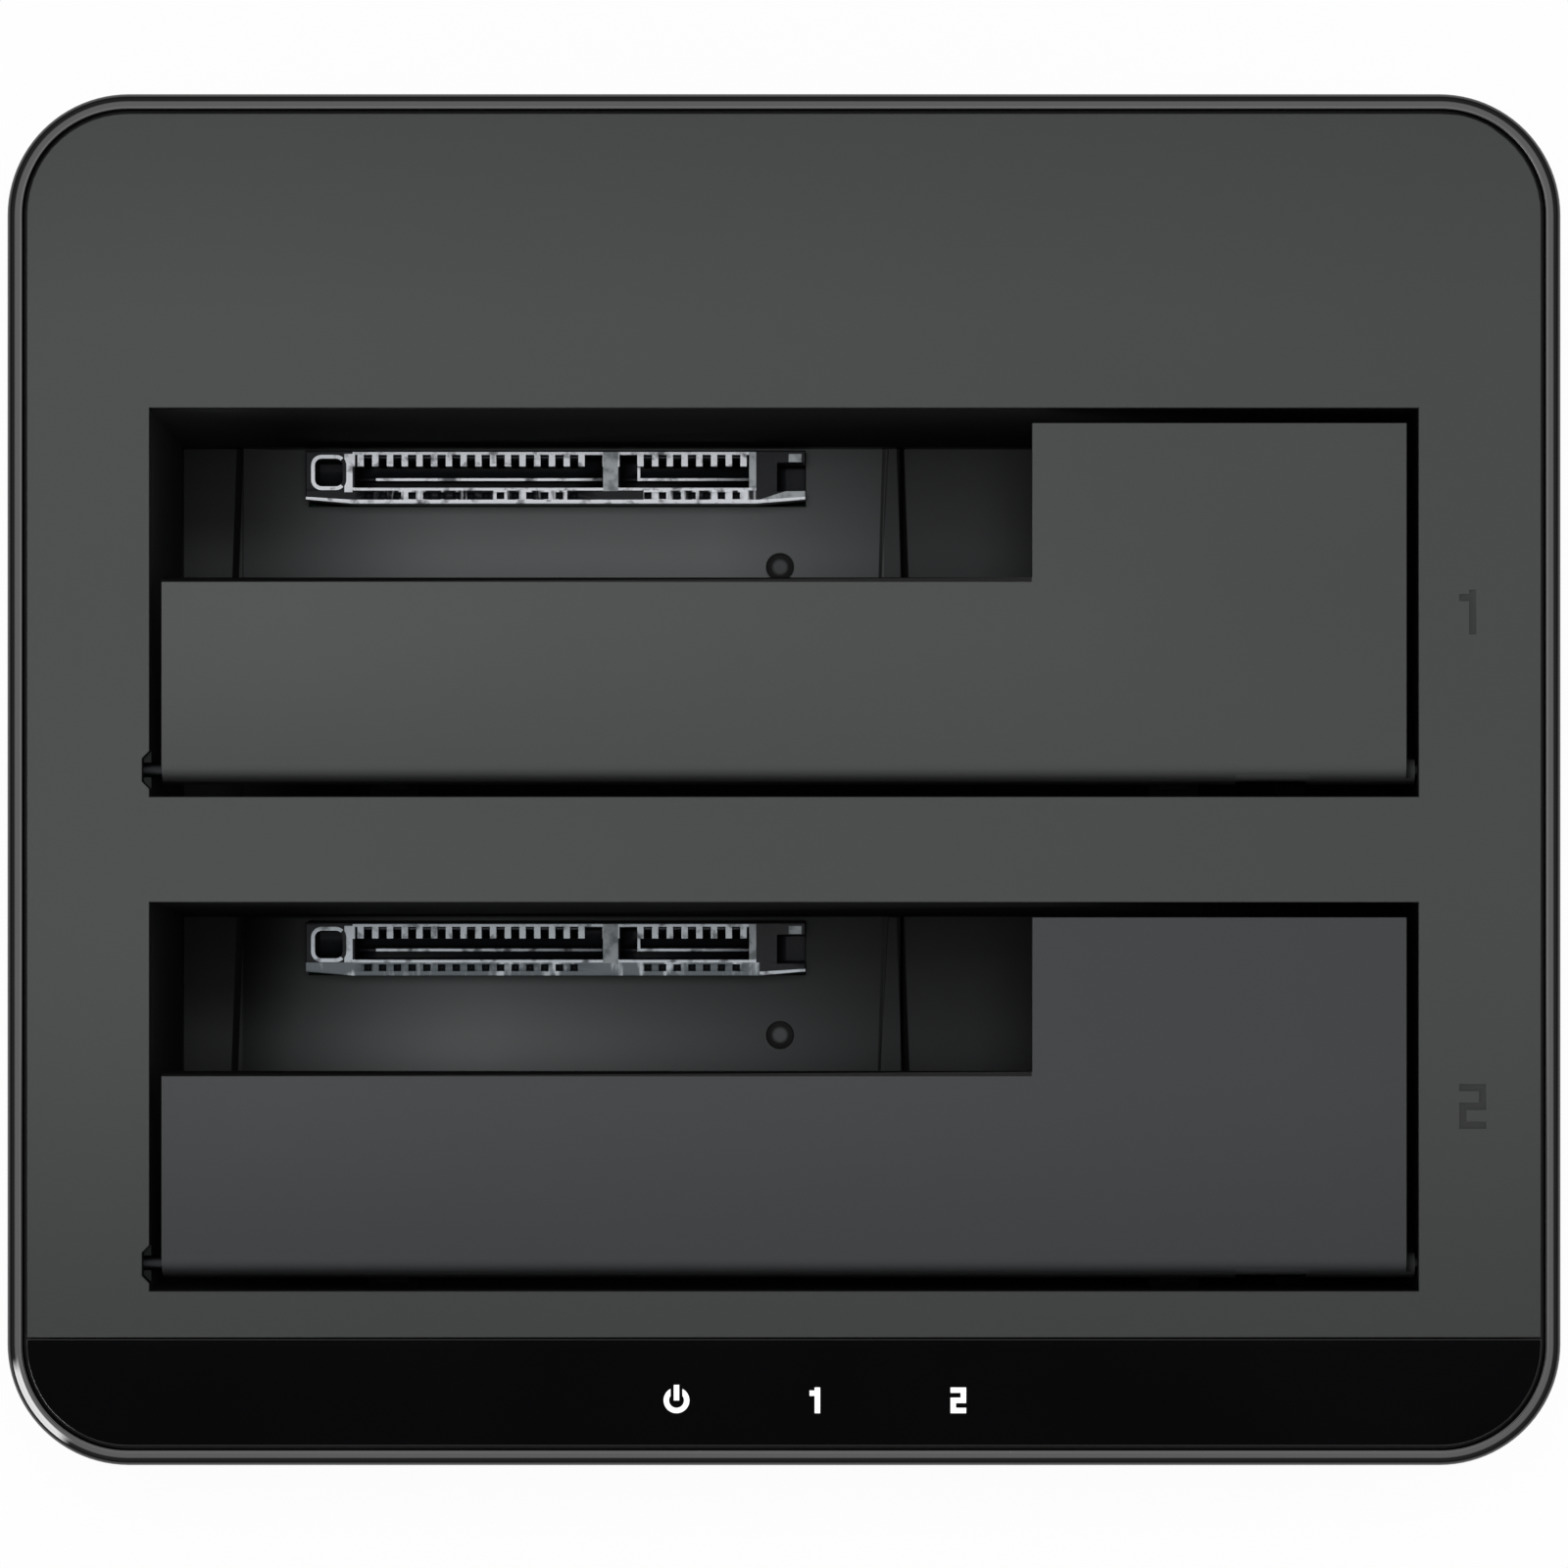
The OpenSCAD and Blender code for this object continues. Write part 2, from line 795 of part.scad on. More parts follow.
module front_strip() {
  color("#060606")
    difference() {
      union() {
        translate([0, 0, seat_z])
          linear_extrude(panel_t)
            lid_half(true);
        at_light_posts()
          translate([0, 0, light_top])
            cylinder(r = light_post_r, h = light_drop);
        for (sx = [-1, 1])
          translate([sx * strip_hook_x, seam_y - beam_half - pass_gap, seat_z])
            rotate([0, 0, 270])
              hook();
      }
      for (k = [0:2])
        translate([icon_x(k), light_y, seat_z - over])
          linear_extrude(panel_t + 2 * over)
            icon_outline(k, push_fit);
      at_light_posts()
        translate([0, 0, light_top - over])
          cylinder(r = light_screw_r + push_fit, h = light_screw_len + over);
    }
}

// Light guide: the mark itself, a flange under the strip and a stem over its light
module icon(k) {
  color("white")
    translate([icon_x(k), light_y, 0]) {
      translate([0, 0, seat_z])
        linear_extrude(panel_t)
          icon_outline(k, 0);
      translate([0, 0, seat_z - lens_t])
        cylinder(r = lens_r, h = lens_t);
      translate([0, 0, light_top + light_size[2] + pass_gap])
        cylinder(r = stem_r, h = light_drop - light_size[2] - pass_gap);
    }
}

module power_icon() {
  icon(0);
}

module bay_icon_1() {
  icon(1);
}

module bay_icon_2() {
  icon(2);
}

// Inside of a bay, seen from its left end, with the rear wall leaning in
module well_outline(i) {
  polygon([
    [bay_front(i), floor_z], [bay_rear(i) - well_lean, floor_z], [bay_rear(i), seat_z],
    [bay_rear(i), seat_z + over], [bay_front(i), seat_z + over]
  ]);
}

module bay_well(i) {
  pad_right = slot_left + pad_left + pad_w;
  color("#2b2c2d") {
    difference() {
      union() {
        block(
          [slot_left - well_wall, bay_front(i) - well_wall, well_under],
          [slot_right + well_wall, bay_rear(i) + well_wall, seat_z]
        );
        for (sx = [-1, 1], step = [-ear_step, ear_step])
          translate([sx * ear_x, bay_middle(i) + step, seat_z - ear_t / 2])
            cube([ear_w + well_wall, ear_len, ear_t], center = true);
      }
      along_x(slot_left, slot_right)
        well_outline(i);
      for (span = [[slot_left, slot_left + pad_left], [pad_right, slot_right]])
        block(
          [span[0], bay_front(i), floor_z - side_drop],
          [span[1], bay_rear(i) - well_lean, floor_z + over]
        );
      translate([socket_x, bay_rear(i) - socket_from_rear, well_under - over])
        linear_extrude(floor_t + 2 * over)
          square([socket_w + 2 * pass_gap, socket_d + 2 * pass_gap], center = true);
      translate([slot_left + peg_from_left, bay_rear(i) - peg_from_rear, well_under - over])
        cylinder(r = peg_r + run_fit, h = floor_t + 2 * over);
      translate([0, hinge_y(i), seat_z])
        bar_x(rod_r + push_fit, -rod_len / 2 - push_fit, rod_len / 2 + push_fit);
      for (sx = [-1, 1], step = [-ear_step, ear_step])
        translate([sx * ear_x, bay_middle(i) + step, seat_z - ear_t - over])
          cylinder(r = stake_r + push_fit, h = ear_t + 2 * over);
    }
    guide_rib(i, pad_right);
    flap_stops(i);
  }
}

// Low wedge on the floor beside the pad's right edge, wider towards the front
module guide_rib(i, pad_right) {
  rear = bay_rear(i) - well_lean;
  front = rear - rib_len;
  translate([pad_right - rib_edge, 0, floor_z - floor_t / 2])
    linear_extrude(floor_t / 2 + rib_h)
      polygon([[-rib_rear_w, rear], [0, rear], [0, front], [-rib_front_w, front]]);
}

// Blocks on the front wall: two under the flap's heels and one for the spring's leg
module flap_stops(i) {
  bite = well_wall / 2;
  for (sx = [-1, 1])
    translate([sx * (slot_right - heel_from_end), bay_front(i), seat_z - heel_low - stop_slack])
      block([-stop_w / 2, -bite, -stop_h], [stop_w / 2, stop_reach, 0]);
  translate([spring_x + spring_len, bay_front(i), seat_z])
    block(
      [-rest_w / 2, -bite, -rest_low],
      [rest_w / 2, hinge_in - coil_r - wire_r - run_fit, -rest_high]
    );
}

module bay_well_1() {
  bay_well(0);
}

module bay_well_2() {
  bay_well(1);
}

// Section of a flap at its hinge, with a rounded nose; the hinge axis is the origin
module flap_section(reach) {
  nose = nose_r - flap_nose;
  polygon([
    [-flap_nose, flap_low], [reach, flap_low], [reach, panel_t],
    [nose, panel_t], [nose, panel_t - nose_r], [-flap_nose, panel_t - nose_r]
  ]);
  translate([nose, panel_t - nose_r])
    quarter(nose_r, -1, 1);
}

module flap(i) {
  color("#4a4c4c")
    translate([0, hinge_y(i), seat_z])
      difference() {
        union() {
          along_x(-flap_right, notch_x)
            flap_section(flap_short);
          along_x(notch_x, flap_right)
            flap_section(flap_long);
          bar_x(barrel_r, -flap_right, slot_right - barrel_end_gap);
          for (sx = [-1, 1])
            translate([sx * (slot_right - heel_from_end), 0, 0])
              block([-heel_w / 2, -heel_reach, -heel_low], [heel_w / 2, 0, -heel_high]);
        }
        bar_x(rod_r + run_fit, -slot_w, slot_w);
        bar_x(spring_room, spring_x - spring_end_gap, spring_x + spring_len + spring_end_gap);
        translate([spring_x, 0, flap_low - over])
          block(
            [-leg_slot_w / 2, 0, 0],
            [leg_slot_w / 2, spring_leg + pass_gap, over - flap_low + coil_r + wire_r + run_fit]
          );
      }
}

module flap_1() {
  flap(0);
}

module flap_2() {
  flap(1);
}

module hinge_rod(i) {
  color("silver")
    translate([0, hinge_y(i), seat_z])
      bar_x(rod_r, -rod_len / 2, rod_len / 2);
}

module hinge_rod_1() {
  hinge_rod(0);
}

module hinge_rod_2() {
  hinge_rod(1);
}

// Middle line of a spring: a leg under the flap, the coil and a leg down the front wall
function coil_point(a) = [coil_pitch * (a - coil_start) / 360, coil_r * cos(a), coil_r * sin(a)];
coil_sweep = coil_start + 360 * coil_turns;
coil_rings = ceil(spring_steps * coil_sweep / 360);
spring_path = concat(
  [[0, spring_leg, coil_r], [0, wire_r, coil_r]],
  [for (k = [0:coil_rings]) coil_point(coil_start + coil_sweep * k / coil_rings)],
  [[spring_len, -coil_r, -wire_r], [spring_len, -coil_r, -spring_leg]]
);

function unit(v) = v / norm(v);
function spring_way(k) =
  unit(spring_path[min(k + 1, len(spring_path) - 1)] - spring_path[max(k - 1, 0)]);

// Ring of points round the wire at one place of its middle line
function wire_ring(k) =
  let (way = spring_way(k), side = unit(cross(way, [1, 0, 0])), up = cross(way, side))
  [for (s = [0:spring_sides - 1])
    let (a = 360 * s / spring_sides)
    spring_path[k] + wire_r * (cos(a) * side + sin(a) * up)];

// Least clear distance between places of the wire that are half a turn or more apart
spring_gap = min([
  for (j = [0:len(spring_path) - 1])
    for (k = [j + spring_steps / 2:1:len(spring_path) - 1])
      norm(spring_path[j] - spring_path[k])
]) - 2 * wire_r;
echo(spring_gap = spring_gap);

module flap_spring(i) {
  rings = len(spring_path);
  points = [for (k = [0:rings - 1]) each wire_ring(k)];
  skin = [
    for (k = [0:rings - 2], s = [0:spring_sides - 1])
      let (
        a = k * spring_sides + s,
        b = k * spring_sides + (s + 1) % spring_sides,
        c = a + spring_sides,
        d = b + spring_sides
      )
      each [[a, c, b], [b, c, d]]
  ];
  last = (rings - 1) * spring_sides;
  caps = [
    for (s = [1:spring_sides - 2])
      each [[0, s, s + 1], [last, last + s + 1, last + s]]
  ];
  color("silver")
    translate([spring_x, hinge_y(i), seat_z])
      polyhedron(points, concat(skin, caps));
}

module flap_spring_1() {
  flap_spring(0);
}

module flap_spring_2() {
  flap_spring(1);
}

module sata_socket(i) {
  cavity_rear = socket_d / 2 - socket_rear_wall;
  cavity_front = socket_front_wall - socket_d / 2;
  cavities = [
    [first_contact - cavity_end, divider_x - divider_w / 2],
    [divider_x + divider_w / 2, last_signal + cavity_end]
  ];
  color("#26272a")
    translate([socket_x, bay_rear(i) - socket_from_rear, 0]) {
      difference() {
        block([-socket_w / 2, -socket_d / 2, board_top], [socket_w / 2, socket_d / 2, socket_top]);
        for (c = cavities)
          block(
            [c[0], cavity_front, socket_top - cavity_deep],
            [c[1], cavity_rear, socket_top + over]
          );
        translate([0, -socket_ear / 2, socket_top - cavity_deep]) {
          translate([socket_ear_wall - socket_w / 2, 0, 0])
            cube([socket_ear, socket_ear, cavity_deep + over]);
          translate([socket_w / 2 - socket_ear, 0, 0])
            cube([socket_ear + over, socket_ear, cavity_deep + over]);
        }
        for (x = contact_x)
          translate([x, (socket_front_wall - socket_d) / 2, socket_top])
            cube([cell_w, cell_d, 2 * cell_deep], center = true);
      }
      for (c = cavities)
        block(
          [c[0] - socket_rear_wall / 2, -guide_t, socket_top - cavity_deep - over],
          [c[1] + socket_rear_wall / 2, 0, socket_top - guide_low]
        );
    }
}

module sata_socket_1() {
  sata_socket(0);
}

module sata_socket_2() {
  sata_socket(1);
}

// Contact blades along the rear wall of a socket's cavities
module sata_contacts(i) {
  rear = socket_d / 2 - socket_rear_wall - push_fit;
  color("gold")
    translate([socket_x, bay_rear(i) - socket_from_rear, 0])
      for (x = contact_x)
        block(
          [x - contact_w / 2, rear - contact_reach, socket_top - cavity_deep],
          [x + contact_w / 2, rear, socket_top - contact_low]
        );
}

module sata_contacts_1() {
  sata_contacts(0);
}

module sata_contacts_2() {
  sata_contacts(1);
}

module main_board() {
  color("#14432a")
    difference() {
      block([-board_right, board_front, board_z], [board_right, board_rear, board_top]);
      at_board_posts()
        translate([0, 0, board_z - over])
          cylinder(r = board_screw_r + pass_gap, h = board_t + 2 * over);
      at_pegs()
        translate([0, 0, board_z - over])
          cylinder(r = peg_post_r + pass_gap, h = board_t + 2 * over);
    }
}

// A flat part on the main board
module chip(place, i, size) {
  translate([board_right - place[0] - size[0] / 2, bay_middle(i) + place[1] - size[1] / 2, board_top])
    cube(size);
}

module bridge_chip() {
  color("#1b1b1d")
    chip(bridge_place, 0, bridge_size);
}

module flash_chip() {
  color("#1b1b1d")
    chip(flash_place, 1, flash_size);
}

module crystal() {
  color("silver")
    chip(crystal_place, 0, crystal_size);
}

module inductors() {
  color("#3a3a3c")
    for (i = [0, 1])
      chip(inductor_place, i, inductor_size);
}

// Upright capacitors between the ports, behind bay 1
module capacitors() {
  color("#2c3a4a")
    for (k = [-0.5, 0.5, 1.5])
      translate([k * port_pitch, bay_rear(0) + well_wall + capacitor_r + capacitor_gap, board_top])
        cylinder(r = capacitor_r, h = capacitor_h);
}

// Header on a board, standing on it or hanging under it
module header(low) {
  translate([light_x - header_w / 2, cable_y - header_d / 2, low])
    cube([header_w, header_d, header_h]);
}

module board_header() {
  color("ivory")
    header(board_top);
}

module light_header() {
  color("ivory")
    header(light_top - light_board_t - header_h);
}

module light_cable() {
  low = board_top + header_h;
  high = light_top - light_board_t - header_h;
  color("gray")
    translate([light_x - cable_w / 2, cable_y - cable_t / 2, low])
      cube([cable_w, cable_t, high - low]);
}

module light_board() {
  color("#14432a")
    difference() {
      block(
        [light_x - light_board_w / 2, light_y - light_board_front, light_top - light_board_t],
        [light_x + light_board_w / 2, light_y + light_board_rear, light_top]
      );
      at_light_posts()
        translate([0, 0, light_top - light_board_t - over])
          cylinder(r = light_screw_r + pass_gap, h = light_board_t + 2 * over);
    }
}

module status_lights() {
  color("white")
    for (k = [0:2])
      translate([icon_x(k) - light_size[0] / 2, light_y - light_size[1] / 2, light_top])
        cube(light_size);
}

// Opening in the port plate, given by its middle and size
module plate_hole(x, z, w, h) {
  translate([x - w / 2, plate_y - port_plate_t - over, z - h / 2])
    cube([w, port_plate_t + 2 * over, h]);
}

module port_plate() {
  color("#121213")
    difference() {
      block(
        [-window_w / 2 - plate_edge, plate_y - port_plate_t, window_z - plate_edge],
        [window_w / 2 + plate_edge, plate_y, window_z + window_h + plate_edge]
      );
      plate_hole(-port_pitch, board_top + jack_h / 2, jack_w + 2 * pass_gap, jack_h + 2 * pass_gap);
      plate_hole(0, board_top + usb_h / 2, usb_w + 2 * pass_gap, usb_h + 2 * pass_gap);
      plate_hole(port_pitch, port_z, switch_w + 2 * push_fit, switch_h + 2 * push_fit);
    }
}

module usb_shell() {
  front = plate_y + usb_proud;
  color("silver")
    difference() {
      block([-usb_w / 2, front - usb_len, board_top], [usb_w / 2, front, board_top + usb_h]);
      block(
        [usb_skin - usb_w / 2, front - usb_len - over, board_top + usb_skin],
        [usb_w / 2 - usb_skin, front + over, board_top + usb_h - usb_skin]
      );
    }
}

// Insulator inside the shell, with a stepped mouth and two tongues
usb_face = plate_y + usb_proud - usb_skin;
usb_low = board_top + usb_skin + push_fit;
usb_floor = usb_low + usb_sill;
usb_step = usb_floor + usb_mouth[1];
tongue_z = usb_floor + usb_mouth[1] / 2;
crown_z = usb_step + usb_crown[1] / 2;

module usb_insert() {
  side = usb_w / 2 - usb_skin - push_fit;
  rear = usb_face - usb_deep;
  color("#1c2f66") {
    difference() {
      block(
        [-side, usb_face - usb_len + 2 * usb_skin, usb_low],
        [side, usb_face, board_top + usb_h - usb_skin - push_fit]
      );
      block([-usb_mouth[0] / 2, rear, usb_floor], [usb_mouth[0] / 2, usb_face + over, usb_step]);
      block(
        [-usb_crown[0] / 2, rear, usb_step - over],
        [usb_crown[0] / 2, usb_face + over, usb_step + usb_crown[1]]
      );
    }
    block(
      [-tongue_w / 2, rear - over, tongue_z - tongue_t / 2],
      [tongue_w / 2, usb_face - tongue_low, tongue_z + tongue_t / 2]
    );
    block(
      [-crown_tongue_w / 2, rear - over, crown_z - crown_tongue_t / 2],
      [crown_tongue_w / 2, usb_face - tongue_low, crown_z + crown_tongue_t / 2]
    );
  }
}

module usb_contacts() {
  front = usb_face - 2 * tongue_low;
  crown_under = crown_z - (crown_tongue_t + usb_contact[2]) / 2;
  color("gold") {
    for (x = [-usb_pair_x, usb_pair_x], side = [-1, 1])
      translate([x, front - usb_contact[1] / 2, tongue_z + side * (tongue_t + usb_contact[2]) / 2])
        cube(usb_contact, center = true);
    for (k = [-2:2])
      translate([k * crown_pitch, front - usb_contact[1] / 2, crown_under])
        cube([crown_contact_w, usb_contact[1], usb_contact[2]], center = true);
  }
}

// Power jack: a block on the board with a round bore to the rear
jack_face = plate_y + jack_proud;

module dc_jack() {
  color("#151516")
    difference() {
      block(
        [-port_pitch - jack_w / 2, jack_face - jack_len, board_top],
        [-port_pitch + jack_w / 2, jack_face, board_top + jack_h]
      );
      translate([-port_pitch, 0, port_z]) {
        bar_y(jack_bore_r, jack_face - jack_bore_deep, jack_face + over);
        bar_y(jack_root_r + push_fit, jack_face - jack_bore_deep - jack_root_len, jack_face);
      }
    }
}

module dc_pin() {
  tip = jack_face - jack_pin_low;
  cone = jack_pin_r / 2;
  color("gold")
    translate([-port_pitch, 0, port_z]) {
      bar_y(jack_root_r, jack_face - jack_bore_deep - jack_root_len, tip - cone);
      bar_y(jack_pin_r, jack_face - jack_bore_deep, tip - cone);
      translate([0, tip - cone, 0])
        rotate([-90, 0, 0])
          cylinder(r1 = jack_pin_r, r2 = jack_pin_r - cone, h = cone);
    }
}

// Power switch: a framed box through the port plate with a rocker on an upright pin
pivot_y = plate_y + bezel_t - rocker_pivot;

module switch_body() {
  room = rocker_r + pass_gap;
  color("#101011")
    translate([port_pitch, 0, port_z])
      difference() {
        union() {
          block(
            [-bezel_w / 2, plate_y, -bezel_h / 2],
            [bezel_w / 2, plate_y + bezel_t, bezel_h / 2]
          );
          block(
            [-switch_w / 2, plate_y - switch_len, -switch_h / 2],
            [switch_w / 2, plate_y, switch_h / 2]
          );
        }
        block(
          [-room, pivot_y - rocker_room, -rocker_h / 2 - pass_gap],
          [room, plate_y + bezel_t + over, rocker_h / 2 + pass_gap]
        );
        translate([0, pivot_y, -switch_h])
          cylinder(r = rocker_pin_r + push_fit, h = 2 * switch_h);
      }
}

module power_rocker() {
  fall = rocker_r * tan(rocker_tilt);
  color("#1a1a1b")
    translate([port_pitch, pivot_y, port_z - rocker_h / 2])
      rotate([0, 0, -rocker_tilt])
        difference() {
          linear_extrude(rocker_h)
            intersection() {
              circle(rocker_r);
              polygon([
                [-rocker_r, -rocker_rear], [rocker_r, -rocker_rear], [rocker_r, rocker_front - fall],
                [0, rocker_front], [-rocker_r, rocker_front - fall]
              ]);
            }
          translate([0, 0, -over])
            cylinder(r = rocker_pin_r + run_fit, h = rocker_h + 2 * over);
        }
}

module rocker_pin() {
  color("silver")
    translate([port_pitch, pivot_y, port_z - switch_h / 2])
      cylinder(r = rocker_pin_r, h = switch_h);
}

// Two blades from the rear of the switch down to the main board
module switch_terminals() {
  root = plate_y - switch_len;
  bend = root - terminal_len;
  color("gold")
    for (x = [port_pitch - terminal_x, port_pitch + terminal_x])
      along_x(x - terminal_w / 2, x + terminal_w / 2)
        polygon([
          [root, port_z], [bend, port_z], [bend, board_top], [bend + terminal_t, board_top],
          [bend + terminal_t, port_z - terminal_t], [root, port_z - terminal_t]
        ]);
}

module rubber_feet() {
  color("#202022")
    at_four(body_w / 2 - foot_inset, body_d / 2 - foot_inset) {
      cylinder(r1 = foot_r - foot_chamfer, r2 = foot_r, h = foot_chamfer);
      translate([0, 0, foot_chamfer])
        cylinder(r = foot_r, h = foot_proud + foot_sink - foot_chamfer);
    }
}

module case_screws() {
  color("silver")
    at_four(boss_x, boss_y)
      translate([0, 0, case_head_z])
        screw(case_screw_r, case_screw_len, case_head_r, case_head_h);
}

module board_screws() {
  color("silver")
    at_board_posts()
      translate([0, 0, board_top])
        mirror([0, 0, 1])
          screw(board_screw_r, board_screw_len, board_head_r, board_head_h);
}

module light_board_screws() {
  color("silver")
    at_light_posts()
      translate([0, 0, light_top - light_board_t])
        screw(light_screw_r, light_screw_len, light_head_r, light_head_h);
}

lower_case();
upper_case();
top_panel();
front_strip();
power_icon();
bay_icon_1();
bay_icon_2();
bay_well_1();
bay_well_2();
flap_1();
flap_2();
hinge_rod_1();
hinge_rod_2();
flap_spring_1();
flap_spring_2();
sata_socket_1();
sata_socket_2();
sata_contacts_1();
sata_contacts_2();
main_board();
bridge_chip();
flash_chip();
crystal();
inductors();
capacitors();
board_header();
light_board();
status_lights();
light_header();
light_cable();
port_plate();
usb_shell();
usb_insert();
usb_contacts();
dc_jack();
dc_pin();
switch_body();
switch_terminals();
power_rocker();
rocker_pin();
rubber_feet();
case_screws();
board_screws();
light_board_screws();
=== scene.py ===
# %% [markdown]
# # A docking station with two drive bays
# The station stands on a table with its ports to the rear, and is seen from straight above.
# Its solids come from the packed frame, which fixes every size and place. This lesson gives
# them their looks: rounded edges, finer springs and contacts, finishes, light and a camera.

# %% Load the frame
import json
import math

import bmesh
import bpy
from mathutils import Matrix, Vector

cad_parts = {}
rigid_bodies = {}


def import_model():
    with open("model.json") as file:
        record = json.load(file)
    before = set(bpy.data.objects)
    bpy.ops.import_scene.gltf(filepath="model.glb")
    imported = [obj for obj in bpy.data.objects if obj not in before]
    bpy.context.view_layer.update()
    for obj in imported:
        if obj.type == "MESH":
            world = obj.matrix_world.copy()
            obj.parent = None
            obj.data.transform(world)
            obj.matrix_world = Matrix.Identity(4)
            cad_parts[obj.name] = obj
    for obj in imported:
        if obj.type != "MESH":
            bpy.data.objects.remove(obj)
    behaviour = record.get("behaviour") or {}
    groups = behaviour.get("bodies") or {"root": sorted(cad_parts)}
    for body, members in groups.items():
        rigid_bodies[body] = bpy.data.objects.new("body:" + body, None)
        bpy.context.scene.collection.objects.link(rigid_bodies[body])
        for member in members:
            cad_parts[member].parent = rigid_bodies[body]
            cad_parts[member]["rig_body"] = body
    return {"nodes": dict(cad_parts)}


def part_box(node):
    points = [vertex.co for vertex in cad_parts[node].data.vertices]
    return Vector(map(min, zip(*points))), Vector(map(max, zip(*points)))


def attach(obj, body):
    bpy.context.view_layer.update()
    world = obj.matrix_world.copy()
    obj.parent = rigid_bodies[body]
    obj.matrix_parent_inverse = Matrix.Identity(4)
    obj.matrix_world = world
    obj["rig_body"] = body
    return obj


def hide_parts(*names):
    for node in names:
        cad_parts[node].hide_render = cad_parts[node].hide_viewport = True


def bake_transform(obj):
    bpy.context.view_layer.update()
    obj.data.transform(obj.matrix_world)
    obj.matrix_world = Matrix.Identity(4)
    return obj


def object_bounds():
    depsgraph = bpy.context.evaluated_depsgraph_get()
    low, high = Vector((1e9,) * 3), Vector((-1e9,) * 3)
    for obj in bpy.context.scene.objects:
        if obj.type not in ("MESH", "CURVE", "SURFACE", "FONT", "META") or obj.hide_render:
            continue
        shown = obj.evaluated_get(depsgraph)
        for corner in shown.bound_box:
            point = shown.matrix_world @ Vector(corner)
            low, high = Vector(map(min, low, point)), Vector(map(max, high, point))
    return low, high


MM = 0.001
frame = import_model()
nodes = frame["nodes"]
cad_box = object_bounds()
print(len(nodes), "solids, in mm", [round(side / MM, 1) for side in cad_box[1] - cad_box[0]])

# %% [markdown]
# ## The camera
# The photograph shows no side of the housing, so the lens looks straight down. The contacts at
# the bottom of a bay look 4.5% smaller than they would at the top, and that sets how far away
# the lens is: about eleven times the station's height. The field then has to take in 129 mm.

# %% Camera
LENS_ABOVE_TOP = 681 * MM
FIELD_WIDE = 129.03 * MM
FIELD_SHIFT = -0.36 * MM

top = cad_box[1].z
lens = bpy.data.cameras.new("top_view")
lens.lens = lens.sensor_width * LENS_ABOVE_TOP / FIELD_WIDE
camera = bpy.data.objects.new("top_view", lens)
camera.location = (0, FIELD_SHIFT, top + LENS_ABOVE_TOP)
bpy.context.scene.collection.objects.link(camera)
bpy.context.scene.camera = camera
print("lens", round(lens.lens, 1), "mm,", round(camera.location.z, 3), "m above the table")

# %% [markdown]
# ## Shader sums as Python
# A finish is mostly arithmetic: some noise, less its mean, times a strength. A small class that
# wraps a socket lets that be written as an expression, and each operator adds a Math node. Every
# other node comes from one method, which takes the node's type, its settings and its sockets.


# %% A socket that can be used in sums
class Wire:
    """One output socket of a node tree."""

    def __init__(self, tree, socket=None):
        self.tree = tree
        self.socket = socket

    def node(self, kind, settings=None, sockets=None, out=0):
        made = self.tree.nodes.new("ShaderNode" + kind)
        for name, value in (settings or {}).items():
            setattr(made, name, value)
        for name, value in (sockets or {}).items():
            if isinstance(value, Wire):
                self.tree.links.new(value.socket, made.inputs[name])
            else:
                made.inputs[name].default_value = value
        return Wire(self.tree, made.outputs[out] if made.outputs else None)

    def math(self, operation, first, second):
        return self.node("Math", {"operation": operation}, {0: first, 1: second})

    def __add__(self, other):
        return self.math("ADD", self, other)

    def __sub__(self, other):
        return self.math("SUBTRACT", self, other)

    def __rsub__(self, other):
        return self.math("SUBTRACT", other, self)

    def __mul__(self, other):
        return self.math("MULTIPLY", self, other)

    def __abs__(self):
        return self.math("ABSOLUTE", self, 0)

    __radd__ = __add__
    __rmul__ = __mul__


print("a wire:", Wire.__doc__)


# %% Nodes that many finishes share
def shade(red, green, blue):
    """A colour as read off a screen, from 0 to 255, as the linear colour that a shader takes."""
    parts = [value / 255 for value in (red, green, blue)]
    return [p / 12.92 if p <= 0.04045 else ((p + 0.055) / 1.055) ** 2.4 for p in parts] + [1]


def times(colour, share):
    return [part * share for part in colour[:3]] + [1]


def noise(place, grain, detail=2.0):
    """Noise from 0 to 1 with grains of about that size."""
    return place.node("TexNoise", None, {"Vector": place, "Scale": 1 / grain, "Detail": detail})


def mix_colour(factor, first, second):
    return factor.node("Mix", {"data_type": "RGBA"}, {0: factor, 6: first, 7: second}, out=2)


def step(value, low, high):
    """0 below low, 1 above high and a smooth rise between them."""
    return value.node("MapRange", {"interpolation_type": "SMOOTHSTEP"}, {
        "Value": value, "From Min": low, "From Max": high})


def rise(value, low, high):
    """0 below low, 1 above high and a straight rise between them."""
    return value.node("MapRange", None, {"Value": value, "From Min": low, "From Max": high})


def along(place, letter):
    return place.node("SeparateXYZ", None, {0: place}, out=letter)


def bump(height, depth):
    return height.node("Bump", None, {"Height": height, "Distance": depth, "Strength": 1.0})


print("the grey 128 is", round(shade(128, 128, 128)[0], 3), "to a shader")

# %% A finish from its parts
finishes = {}
slots = {name: solid.data.materials[0].name for name, solid in nodes.items()}
for flat in list(bpy.data.materials):
    flat.name = "flat_" + flat.name


